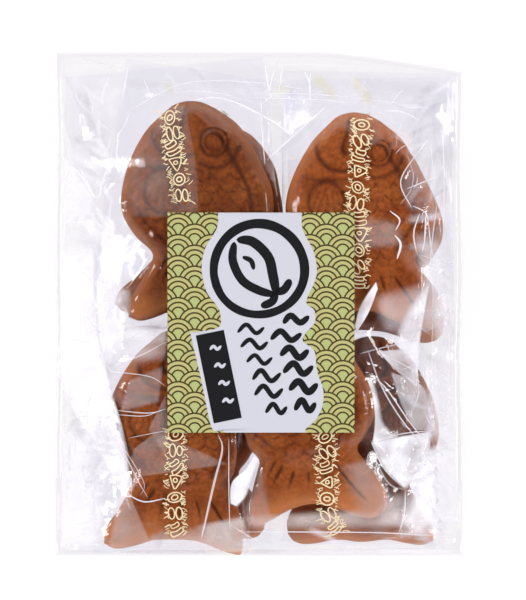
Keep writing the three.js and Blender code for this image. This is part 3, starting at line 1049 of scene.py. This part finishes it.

# ------------------------------------------------------------------ folds of the films, with painted glare and shade

# Milky sheets over the cakes: partly folded-over plies where the film doubles up, partly painted sheen where
# it mirrors the light. Left edge, right edge, how milky, and how far each edge's and both ends' milkiness
# fades in.
WRAPPER_PLIES_AND_SHEEN = {
    "upper_left": [
        ([(-39, 78), (-50.4, 58.4), (-54, 46), (-53, 34)],
         [(-29.4, 80), (-24.8, 53), (-24.2, 34)], 0.085, 4, 0, 0.5),
        ([(-50, 62), (-51, 48)], [(-35, 57), (-36, 36)], 0.05, 0, 2, 2),
    ],
    "upper_right": [
        ([(62.4, 59.4), (56.6, 48.2), (60, 37)], [(68, 61), (72, 48), (72, 36)], 0.10, 0, 2, 0),
        ([(52, 67), (61, 62)], [(56, 71), (69, 58)], 0.24, 1, 1, 2),
        ([(40, 37), (37, 20)], [(56, 33), (60, 22)], 0.20, 3, 5, 5),
    ],
    "lower_left": [
        ([(-50, -58), (-54, -70)], [(-41, -51), (-12, -64)], 0.14, 0, 0, 0),
        ([(-58, -80), (-61.6, -99)], [(-52, -75), (-43, -96)], 0.24, 3, 0, 0),
        ([(-44, -91), (-46, -99)], [(-11, -86), (-8, -99)], 0.30, 3, 3, 4),
        ([(-26, -88), (-24, -100.6)], [(-6, -84), (-2, -100.6)], 0.5, 5, 1, 2),
        ([(-52, -30), (-56, -44)], [(-38, -24), (-40, -40)], 0.20, 1, 0, 2),
        ([(-44, -50), (-36.8, -62)], [(-37, -36), (-36.6, -46)], 0.16, 0, 0, 0),
    ],
    "lower_middle": [
        ([(50, -76), (46, -90)], [(62, -74), (64, -91)], 0.45, 3, 4, 4),
        ([(-8, -84), (-9, -91)], [(62, -80), (63, -91)], 0.42, 4, 2, 3),
        ([(30, -64), (37, -84)], [(47, -60), (56, -84)], 0.20, 8, 1, 3),
        ([(-8, -66), (-8, -88)], [(0, -56), (6, -86)], 0.16, 0, 3, 2),
    ],
}
# Milky sheets on the bag's front film: mostly painted glare, where tilted film mirrors the softboxes, partly
# doubled film. Columns as above.
BAG_GLARE_AND_PLIES = [
    ([(44.8, -55.2), (49.6, -65.4), (58.4, -74)], [(70, -51), (67.4, -64), (58.8, -74.4)], 0.86, 0, 1.5, 0),
    ([(67.8, 10.4), (61.8, 3), (56.8, -5), (53.8, -15), (57, -22), (64, -35)],
     [(68.4, 10), (66.8, 0.6), (64.4, -14.6), (63.8, -26.6), (64.4, -35.2)], 0.82, 4, 0, 0),
    ([(46.6, 9), (40.4, -0.6), (38, -9)], [(47.4, 6), (43.8, -3.6), (38.9, -11.6)], 0.92, 0.6, 0, 0),
    ([(42.6, -29), (45.2, -37), (46.2, -46.6), (45.2, -56)],
     [(46.4, -31), (48.8, -40.6), (50.4, -47.6), (56, -53.6)], 0.80, 0, 2.5, 0.5),
    ([(52.4, -27.4), (56.4, -40), (62.4, -50.6)],
     [(62.4, -30.4), (67.6, -36), (71.6, -51.4)], 0.40, 0.5, 0.5, 0),
    ([(47, -19), (55, -27)], [(60, -18), (64, -34)], 0.50, 0, 0, 0),
    ([(44, 4), (48, -13)], [(66, 10), (72, -14)], 0.30, 6, 3, 5),
    ([(59, 30), (63, 8), (64, -12)], [(73, 28), (76, 8), (76, -14)], 0.42, 6, 3, 7),
    ([(66, -24), (67, -40), (66, -56)], [(77, -22), (78, -40), (77, -58)], 0.55, 2, 3, 6),
    ([(67.6, 16), (69.4, -20), (71.4, -50)], [(78, 16), (78.6, -20), (79, -50)], 0.50, 3, 3, 8),
    ([(-80.2, 24), (-80.8, -10), (-80.4, -32), (-68.8, -52), (-56, -74)],
     [(-66, 24), (-64.8, -6.6), (-59.6, -30.6), (-54, -50.6), (-51.6, -74)], 0.97, 1.5, 1.5, 7),
    ([(-66.8, -50.6), (-62, -63.4), (-53.6, -74.2)],
     [(-54.6, -46.6), (-51.4, -62), (-51.6, -73.6)], 0.75, 0.5, 2, 0.5),
    ([(-1.8, -60.2), (-5.6, -66), (-11, -71.4), (-11.6, -80)],
     [(0.4, -62), (-2.6, -70), (-4.6, -76.6), (-8.4, -81.4)], 0.86, 0.4, 1.4, 0.4),
    ([(-56, -7.4), (-57, -15)], [(-36.6, -9), (-36.6, -17)], 0.5, 4, 1, 3),
    ([(-61, 7), (-60.6, -9)], [(-50.4, 7), (-50.8, -9)], 0.34, 2.5, 2.5, 3),
    ([(-52, -11), (-58, -25)], [(-36.6, -11), (-36.6, -24)], 0.26, 2, 2, 6),
    ([(-66, 14), (-66, -28)], [(-54, 26), (-52, -24)], 0.45, 3, 5, 8),
    ([(-79, 62), (-80, 30)], [(-66, 42), (-66, 36)], 0.45, 2, 2, 3),
    ([(-80, -46), (-80, -99)], [(-66, -56), (-60, -99)], 0.75, 1, 8, 6),
    ([(28, 76), (28, 90)], [(74, 70), (72, 85)], 0.14, 4, 4, 5),
    ([(60, -58), (57, -80), (53, -91)], [(80, -54), (81, -75), (81, -91)], 0.80, 7, 1, 4),
    ([(-60, -99.4), (-60, -101)], [(80, -98.4), (80, -101)], 0.60, 3, 3, 0.3),
]
# Painted highlights along the sharp creases, as white strokes: route, width and whiteness.
CREASE_GLINTS = [
    ([(27, 79), (16, 69), (3, 57)], 0.5, 0.7),
    ([(-28, 80.6), (-18, 82.2), (-7.6, 79.6), (6.4, 72), (14, 66)], 0.7, 0.8),
    ([(-36, 84), (-20, 84.6), (0, 80)], 0.4, 0.35),
    ([(-54, 76), (-30, 88), (0, 88.4), (28, 84)], 0.5, 0.35),
    ([(-73, 99), (-64, 97.2), (-55.6, 93.4)], 0.5, 0.6),
    ([(-82, 61), (-72, 52), (-64.8, 41.6), (-62, 50), (-57, 60)], 0.6, 0.65),
    ([(-72, 55), (-65.2, 41.8)], 0.4, 0.6),
    ([(0.8, 82), (1.2, 70), (2.4, 55)], 0.5, 0.75),
    ([(2.4, 96), (3.6, 88), (5, 82)], 0.7, 0.8),
    ([(7.2, 97), (5, 90), (4.2, 84)], 0.6, 0.7),
    ([(9.4, 95.6), (8.6, 89), (8, 84.6)], 0.5, 0.6),
    ([(18.2, 93.4), (20.4, 87.6), (20, 81)], 0.7, 0.8),
    ([(20.8, 93), (20.2, 86), (21, 80.6)], 0.6, 0.7),
    ([(0, 84.4), (24, 83.6), (50, 80.8), (70, 78)], 0.4, 0.45),
    ([(-4, 82.4), (22, 81.6), (48, 79)], 0.4, 0.35),
    ([(52, 81.4), (60, 78.6), (68, 78.6)], 0.6, 0.55),
    ([(50, 77), (57, 76.6), (64, 73.4)], 0.8, 0.6),
    ([(62.6, 59.6), (56.4, 48.4), (61, 37.6)], 0.45, 0.7),
    ([(58.6, 45.6), (72, 51)], 0.4, 0.7),
    ([(60, 56), (68, 66)], 0.4, 0.5),
    ([(68.6, 64), (69.2, 56), (68.8, 50)], 0.4, 0.5),
    ([(73.6, 70), (74, 50), (73.6, 30)], 0.5, 0.6),
    ([(61, 39), (66.4, 36), (67.6, 30)], 0.5, 0.7),
    ([(64, 36), (61.6, 28), (62.8, 20)], 0.5, 0.85),
    ([(66.4, 35), (66, 26), (65, 20)], 0.6, 0.85),
    ([(67.4, 33), (68.4, 24), (70, 17)], 0.5, 0.8),
    ([(52, 37), (56, 33.4), (54.4, 29)], 0.6, 0.85),
    ([(54, 27.4), (56.4, 23.6), (55, 17.6)], 0.9, 0.9),
    ([(43.2, -18.2), (48.4, -32), (56, -45), (66.4, -58)], 0.5, 0.7),
    ([(47, -19), (55, -23), (62.4, -27)], 0.4, 0.6),
    ([(40, -20), (52, -17), (64, -14.4)], 0.35, 0.5),
    ([(43, -28.4), (50, -33), (60, -47), (66, -53.6), (71, -52)], 0.5, 0.75),
    ([(69.6, 12), (69.4, -20), (71.4, -50)], 0.35, 0.6),
    ([(71, 40), (68.6, 20), (69.2, 5)], 0.5, 0.6),
    ([(74.6, 62), (78, 20), (78.6, -40)], 0.4, 0.35),
    ([(44.6, -55), (58, -52), (70.6, -51)], 0.4, 0.8),
    ([(44.6, -55), (50, -66), (58.6, -74.6)], 0.4, 0.7),
    ([(58.6, -74.6), (58.2, -84), (56, -92)], 0.5, 0.8),
    ([(58.6, -74.6), (64, -66), (71, -60), (79, -58)], 0.5, 0.7),
    ([(58.6, -74.6), (66, -78), (72, -86)], 0.5, 0.7),
    ([(58.6, -74.6), (52, -72), (46, -62)], 0.35, 0.5),
    ([(66, -60), (74, -70), (80, -76)], 0.4, 0.5),
    ([(-9, -91.2), (20, -91.4), (50, -91.8), (79, -94)], 0.45, 0.8),
    ([(-12, -53), (-12, -74), (-11.6, -91)], 0.35, 0.7),
    ([(-16.4, -52), (-14.6, -58), (-18, -72), (-23, -94)], 0.9, 0.5),
    ([(-12, -88), (-4, -93), (2, -96.6)], 0.4, 0.5),
    ([(-58, -24.6), (-47, -20.6), (-36.6, -15)], 0.4, 0.5),
    ([(-60, -27), (-44, -29), (-37, -33)], 0.35, 0.5),
    ([(-56.6, -42.6), (-44, -43.6), (-37, -42)], 0.35, 0.8),
    ([(-57, -44.2), (-46, -44.8), (-40, -43)], 0.3, 0.7),
    ([(-60, -50), (-52.6, -62), (-48.6, -70), (-44, -78)], 0.35, 0.6),
    ([(-54, -75), (-46, -79), (-37, -77.6)], 0.5, 0.85),
    ([(-56, -54), (-48.6, -66), (-45.6, -72.6), (-47.6, -77)], 0.3, 0.5),
    ([(-52, -53.6), (-34, -50)], 0.3, 0.4),
    ([(-66, 24), (-60, 0), (-64, -16), (-59, -34)], 0.5, 0.4),
    ([(-58, -22), (-62, -10), (-56, 6), (-54, 20)], 0.4, 0.4),
]


def within(place, half_width, foot, head):
    return abs(place[0]) < half_width and foot < place[1] < head


def stray_crease_glints():
    """Painted glints of fine short creases strewn over the slack film round the cakes, mostly running
    outwards.
    """
    draw = np.random.default_rng(77)
    strewn = []
    while len(strewn) < 90:
        x, y = draw.uniform(-78, 78), draw.uniform(-97, 95)
        if within((x, y), 54, -90, 78):
            continue
        outward = math.atan2(y * 0.8, x) + draw.normal(0, 0.7)
        length = draw.uniform(4, 17)
        end = (x + length * math.cos(outward), y + length * math.sin(outward))
        if abs(end[0]) > 80 or not -100 < end[1] < 92:
            continue
        bow = draw.uniform(-0.12, 0.12) * length
        middle = ((x + end[0]) / 2 - bow * math.sin(outward), (y + end[1]) / 2 + bow * math.cos(outward))
        strewn.append(([(x, y), middle, end], draw.uniform(0.25, 0.5), draw.uniform(0.2, 0.6)))
    return strewn


# The pale ends of the wrappers' print, blurred under the gathered film: as the plies above.
PRINT_ENDS = [
    ([(-40.4, 89.6), (-38.6, 82.6)], [(-33.6, 90), (-31.6, 83)], 0.36, 3.4, 3.4, 3.5),
    ([(19.4, 93.6), (21.6, 84.4)], [(27, 93), (29.6, 86)], 0.40, 3.6, 3.6, 4.4),
    ([(23.4, 89), (26, 80.4)], [(31, 89), (32.6, 81)], 0.34, 3.6, 3.6, 4.4),
    ([(34.6, 92), (37.6, 83)], [(42, 92), (43.6, 83.4)], 0.34, 3.6, 3.6, 4.4),
    ([(38.6, 87), (39.6, 77)], [(46, 88), (47.6, 78.4)], 0.34, 3.6, 3.6, 4.6),
    ([(6, 89), (4, 83)], [(15, 88.6), (14, 83)], 0.24, 4, 4, 2.8),
]
# Where the slack film tilts away from the light, as broad faint shades.
SHADES = [
    ([(34, 95), (40, 79)], [(79, 88), (74, 70)], 0.12, 8, 4, 5),
    ([(66, 84), (70, 52)], [(80.6, 86), (80.6, 46)], 0.20, 5, 2, 10),
    ([(-26, 98), (-22, 84)], [(36, 97), (30, 83)], 0.07, 8, 8, 5),
    ([(-76, 84), (-70, 52)], [(-54, 86), (-56, 56)], 0.06, 6, 8, 9),
    ([(70, 40), (70, -34)], [(80.6, 40), (80.6, -34)], 0.08, 4, 2, 12),
]


def soft_wrinkles(seed, count, strongest):
    """Sheets along broad soft wrinkles of the slack film round the cakes, fading out on all sides; laid grey
    they are painted shade, laid pale painted highlights.
    """
    draw = np.random.default_rng(seed)
    strewn = []
    while len(strewn) < count:
        x, y = draw.uniform(-80, 80), draw.uniform(-98, 98)
        if within((x, y), 56, -84, 72):
            continue
        outward = math.atan2(y * 0.8, x) + draw.normal(0, 0.45)
        length, half = draw.uniform(10, 34), draw.uniform(1.0, 3.6)
        along = np.array([math.cos(outward), math.sin(outward)])
        side = np.array([-along[1], along[0]])
        start, bow = np.array([x, y]), draw.uniform(-0.15, 0.15) * length
        route = [start, start + along * length / 2 + side * bow, start + along * length]
        if abs(route[2][0]) > 81 or not -100 < route[2][1] < 98 - TOP_CORNER_DROP * max(0.0, x / 80):
            continue
        if any(within(point, 56, -88, 84) for point in route):
            continue
        edges = [[point - side * half for point in route], [point + side * half for point in route]]
        strewn.append((*edges, strongest * draw.uniform(0.25, 1.0), half, half, length / 3))
    return strewn


def ply_haze(ply, s, t, width):
    """How milky a ply is at a place on it: it fades in from each edge and from both ends."""
    left, _, milk, fade_left, fade_right, fade_ends = ply
    haze = milk * smoothstep(-0.01, fade_left + 0.01, s * width)
    haze *= smoothstep(-0.01, fade_right + 0.01, (1 - s) * width)
    return haze * smoothstep(-0.01, fade_ends + 0.01, np.minimum(t, 1 - t) * path_steps(left).sum())


def lay_plies(name, plies, height, material, cells_x=14, cells_y=36):
    """One piece for many sheets laid on the film (folded plies, painted glare and shade, print): each a thin
    slab between its two edges.
    """
    piece, i, j, is_top, which = slab_row(name, cells_x, cells_y, len(plies))
    x, y, haze = np.zeros(len(i)), np.zeros(len(i)), np.zeros(len(i))
    for number, ply in enumerate(plies):
        mine = which == number
        s, t = i[mine] / cells_x, j[mine] / cells_y
        left, right = (along_path(smooth_path(edge), t) for edge in ply[:2])
        x[mine], y[mine] = (left * (1 - s[:, None]) + right * s[:, None]).T
        haze[mine] = ply_haze(ply, s, t, np.hypot(*(right - left).T))
    x, y = keep_in_bag(x, y)
    haze *= 1 + 0.18 * waves(x, y, 41, 16.0)
    set_points(piece, x, y, height(x, y) + np.where(is_top, 0.02, 0.0))
    # A ray goes through both faces of the slab, so each takes its share.
    set_attribute(piece, "haze", 1 - np.sqrt(1 - np.clip(haze, 0, 0.98)))
    finish_piece(piece, material, SHARP_FOLD)


def lay_crease_glints():
    """Painted highlights along the creases of the bag's front film, in one piece."""
    creases = CREASE_GLINTS + stray_crease_glints()
    strokes = [(route, width, 2) for route, width, _ in creases]
    piece = lay_strokes("crease_glints_bag", strokes, 2, 24, on_bag(0.06), 0.03)
    share = len(piece.data.vertices) // len(strokes)
    set_attribute(piece, "haze", np.repeat([white * 0.7 for _, _, white in creases], share))
    finish_piece(piece, MILKY_GLARE_FILM, SHARP_FOLD)


def make_folds():
    """The doubled film and painted sheen on the wrappers, then the bag's painted glare, shade, print ends
    and crease glints.
    """
    for name, plies in WRAPPER_PLIES_AND_SHEEN.items():
        # Milky sheets over the cakes: partly doubled film, partly painted sheen.
        lay_plies(f"plies_{name}", plies, on_wrapper(name, "top", 0.01), WARM_SHEEN_FILM)
    # Painted glare, with some doubled film, on the bag's front film.
    lay_plies("glare_and_plies_bag", BAG_GLARE_AND_PLIES, on_bag(0.03), MILKY_GLARE_FILM)
    # Painted shade: grey sheets along the wrinkles that turn from the light.
    lay_plies("wrinkle_shade_bag", soft_wrinkles(55, 80, 0.26), on_bag(-0.12), SHADED_FILM, 6, 12)
    lay_plies("shades_bag", SHADES, on_bag(-0.3), SHADED_FILM, 10, 14)
    # Painted highlights: pale sheets along the wrinkles that catch the light.
    lay_plies("wrinkle_glare_bag", soft_wrinkles(56, 50, 0.55), on_bag(0.0), MILKY_GLARE_FILM, 6, 12)
    lay_plies("print_ends", PRINT_ENDS, on_bag(-0.2), YELLOW_FILM, 6, 12)
    # Painted highlights along the creases.
    lay_crease_glints()


make_folds()

# ------------------------------------------------------------------ the label


def make_label_sheet():
    """The paper, bent over the cakes."""
    cells_x, cells_y = 60, 70
    piece, i, j, is_top = slab("label_sheet", cells_x, cells_y)
    x = LABEL_LEFT + (LABEL_RIGHT - LABEL_LEFT) * i / cells_x
    y = LABEL_FOOT + (LABEL_HEAD - LABEL_FOOT) * j / cells_y
    set_points(piece, x, y, label_height(x, y) + GLUE + np.where(is_top, LABEL_PAPER, 0))
    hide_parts("label")
    finish_piece(piece, FAN_PAPER, SHARP_EDGE)


# The unprinted field down the label's middle: its left and right edges from foot to head.
FIELD_LEFT = [(-13.6, -51.4), (-15.4, -50.2), (-18.9, -49.2), (-22.8, -31), (-27, -13),
              (-26.4, -11.6), (-16.2, -9.6), (-15.4, -4), (-17, -0.6), (-21, 5), (-22.8, 13.8), (-21.4, 22),
              (-17.4, 28.6), (-16.3, 32), (-16.3, 36.2)]
FIELD_RIGHT = [(18.8, -51.4), (18.6, -49.9), (22.4, -46.4), (25.2, -41), (25.6, -34.6), (23.4, -28),
               (22.8, -24.2), (21.9, -18.6), (17.4, -14.8), (19.2, -11), (22.2, -7.6), (22, -2.6),
               (18.8, 0.6), (22.3, 9), (23, 14), (21.6, 21), (17.4, 29.4), (17, 36.2)]


def make_field():
    """The pale field, with a bulge round the ring and wavy edges."""
    cells_x, cells_y = 40, 120
    piece, i, j, is_top = slab("label_field", cells_x, cells_y)
    t = np.linspace(0, 1, cells_y + 1)
    left, right = (along_path(smooth_path(edge, 8), t)[j] for edge in (FIELD_LEFT, FIELD_RIGHT))
    s = (i / cells_x)[:, None]
    x, y = (left * (1 - s) + right * s).T
    y = np.clip(y, LABEL_FOOT + 0.05, LABEL_HEAD - 0.05)
    set_points(piece, x, y, on_label(0.0)(x, y) + np.where(is_top, INK, 0.002))
    finish_piece(piece, PALE_PAPER, SHARP_EDGE)


RING_MIDDLE = (0.0, 13.6)
RING_RADIUS = 18.1
PANEL = [(-25.2, -12.6), (-14, -10.6), (-6.8, -45.4), (-18, -47.8)]  # its corners, clockwise from top left
PANEL_WIDTH = 11.4
# Plain wavy brush strokes under the ring: route and width.
BRUSHWORK = [
    ([(9.6, -8), (12.6, -4.8), (16.4, -7.6), (20, -5)], 2.5),
    ([(4.6, -14.4), (8.6, -11), (12.8, -14.6), (17, -11.8)], 2.4),
    ([(8.4, -20.8), (12.2, -17.6), (16, -21.6), (19.8, -18.4)], 2.7),
    ([(9.6, -27.6), (13.8, -23.8), (17.6, -28), (21.6, -24.8)], 2.6),
    ([(12, -34.6), (15.8, -31), (19.6, -35.2), (23.4, -31.8)], 2.8),
    ([(14.2, -42.6), (17, -38.4), (20, -42.6), (22.6, -39.4)], 2.5),
    ([(-8.6, -11.6), (-5, -8.4), (-1.2, -11.8), (2.2, -9.4)], 1.7),
    ([(-7.4, -17.4), (-3.6, -14.4), (0.2, -17.8), (3.6, -15.2)], 1.8),
    ([(-5, -23.4), (-1.6, -20.6), (2, -24), (5.4, -21.4)], 1.7),
    ([(-2.6, -30.4), (0.8, -26.6), (4.8, -30.8), (8.8, -27.6)], 2),
    ([(-1.8, -36.6), (1.8, -32.8), (5.8, -37), (9.6, -33.8)], 2),
    ([(2.6, -43.6), (5.6, -40), (8.6, -43.6), (11.2, -41)], 1.9),
]
PANEL_MARKS = [(-17.4, -17.6), (-15.6, -24.6), (-14, -31.6), (-12.4, -38.6)]
# A plain fish in the ring, head up: the route, width and roundness of each stroke round its body.
FISH = [
    ([(-9.0, 25.4), (-2.6, 24.6), (3.6, 18.6), (5.6, 11.0), (7.0, 3.4)], 3.9, 6),
    ([(-9.8, 24.6), (-10.4, 17.0), (-6.6, 9.2), (0.0, 5.2), (6.6, 3.4)], 3.4, 6),
    ([(-6.6, 18.6), (-3.2, 17.0), (-2.0, 13.4)], 2.0, 3),
    ([(5.8, 4.6), (9.8, 5.4), (12.6, 9.6)], 3.2, 4),
    ([(6.8, 4.4), (5.2, 0.8), (0.8, -1.2)], 3.2, 4),
]


def ring_stroke():
    """The brush ring: a little out of round, and thicker on one side."""
    turns = np.radians(np.linspace(200, 562, 25))
    radius = RING_RADIUS * (1 + 0.008 * np.cos(3 * turns + 1))
    ring = np.column_stack([np.cos(turns), np.sin(turns)]) * radius[:, None] + RING_MIDDLE

    def brush(along):
        return 3.5 + 0.35 * np.cos(2 * math.pi * along + 2.4) + 0.12 * np.cos(2 * math.pi * 9 * along)

    return ring, brush, None


def print_on_label(name, strokes, cells_across, cells_along, ink, lift=INK + 0.002):
    piece = lay_strokes(name, strokes, cells_across, cells_along, on_label(lift), INK)
    finish_piece(piece, ink, SHARP_EDGE)


def make_label_print():
    """The brush ring, the fish in it, the wavy strokes and the slanted panel with its four marks."""
    print_on_label("label_ring", [ring_stroke()], 4, 180, BLACK_INK)
    strokes = [(route, width, 5) for route, width in BRUSHWORK] + FISH
    print_on_label("label_brushwork", strokes, 4, 40, BLACK_INK)
    top, foot = np.mean(PANEL[:2], axis=0), np.mean(PANEL[2:], axis=0)
    print_on_label("label_panel", [([top, foot], PANEL_WIDTH, None)], 10, 30, BLACK_INK)
    wave = np.array([(-2.2, -0.8), (-0.7, 0.6), (0.8, -0.6), (2.4, 0.8)])
    marks = [(wave + place, 1.2, 4) for place in PANEL_MARKS]
    print_on_label("label_panel_marks", marks, 3, 24, PALE_PAPER, 2 * INK + 0.004)


make_label_sheet()
make_field()
make_label_print()

# ------------------------------------------------------------------ camera, light and floor

CAMERA_HEIGHT = 2.0
VIEW_HEIGHT = 0.240  # the height of the picture, measured at the cakes' front
VIEW_MIDDLE = (0.0016, 0.0014)
VIEW_LEVEL = 0.036
SENSOR = 36.0


def set_camera():
    deselect_all()
    bpy.ops.object.camera_add(location=(*VIEW_MIDDLE, CAMERA_HEIGHT), rotation=(0, 0, 0))
    camera = bpy.context.object
    camera.name = "camera"
    camera.data.sensor_width = SENSOR
    camera.data.lens = SENSOR * (CAMERA_HEIGHT - VIEW_LEVEL) / VIEW_HEIGHT
    camera.data.clip_end = 20.0
    bpy.context.scene.camera = camera


def soft_box(name, azimuth, elevation, distance, size, strength):
    """A softbox aimed at the pack from a compass angle (0 is behind its top edge) and a height angle."""
    a, e = math.radians(azimuth), math.radians(elevation)
    flat = distance * math.cos(e)
    place = (flat * math.sin(a), flat * math.cos(a), distance * math.sin(e))
    deselect_all()
    bpy.ops.object.light_add(type="AREA", location=place, rotation=(math.pi / 2 - e, 0, math.pi - a))
    lamp = bpy.context.object
    lamp.name = name
    lamp.data.shape = "RECTANGLE"
    lamp.data.size, lamp.data.size_y = size
    lamp.data.energy = strength


def light_table():
    """Opal acrylic lit from below, so that it stays white and shadowless round the pack."""
    m = blank(bpy.data.materials.new("opal_light_table"))
    face = {"Base Color": linear("#4a4a4c"), "Roughness": 0.9, "Specular IOR Level": 0.0}
    glow = {"Emission Color": linear("#ffffff"), "Emission Strength": 0.94}
    opal = node(m, "ShaderNodeBsdfPrincipled", {**face, **glow})
    node(m, "ShaderNodeOutputMaterial", {"Surface": opal.outputs[0]})
    return m


def set_world():
    """A pale room that is dark straight overhead, where flat film would mirror it into the camera."""
    world = blank(bpy.data.worlds.new("studio"))
    bpy.context.scene.world = world
    way = node(world, "ShaderNodeTexCoord").outputs["Generated"]
    up = node(world, "ShaderNodeSeparateXYZ", {0: way}).outputs["Z"]
    dimmed = node(
        world,
        "ShaderNodeMapRange",
        {"Value": up, "From Min": 0.70, "From Max": 0.84, "To Min": 0.95, "To Max": 0.03},
    )
    sky = node(world, "ShaderNodeBackground", {"Color": linear("#f6f5fa"), "Strength": dimmed.outputs[0]})
    node(world, "ShaderNodeOutputWorld", {"Surface": sky.outputs[0]})


def set_studio():
    """Three softboxes round the pack and the light table under it."""
    set_world()
    soft_box("softbox_left", -90, 48, 1.6, (0.55, 0.4), 15.0)
    soft_box("softbox_right", 90, 42, 1.6, (0.5, 0.4), 11.0)
    soft_box("softbox_top", 0, 50, 1.7, (1.3, 0.8), 3.5)
    deselect_all()
    bpy.ops.mesh.primitive_plane_add(size=6.0, location=(0, 0, -0.0003))
    floor = bpy.context.object
    floor.name = "floor"
    floor.data.materials.append(light_table())
    scene = bpy.context.scene
    scene.view_settings.view_transform = "Standard"
    scene.cycles.transparent_max_bounces = 48
    scene.cycles.max_bounces = 16


set_camera()
set_studio()
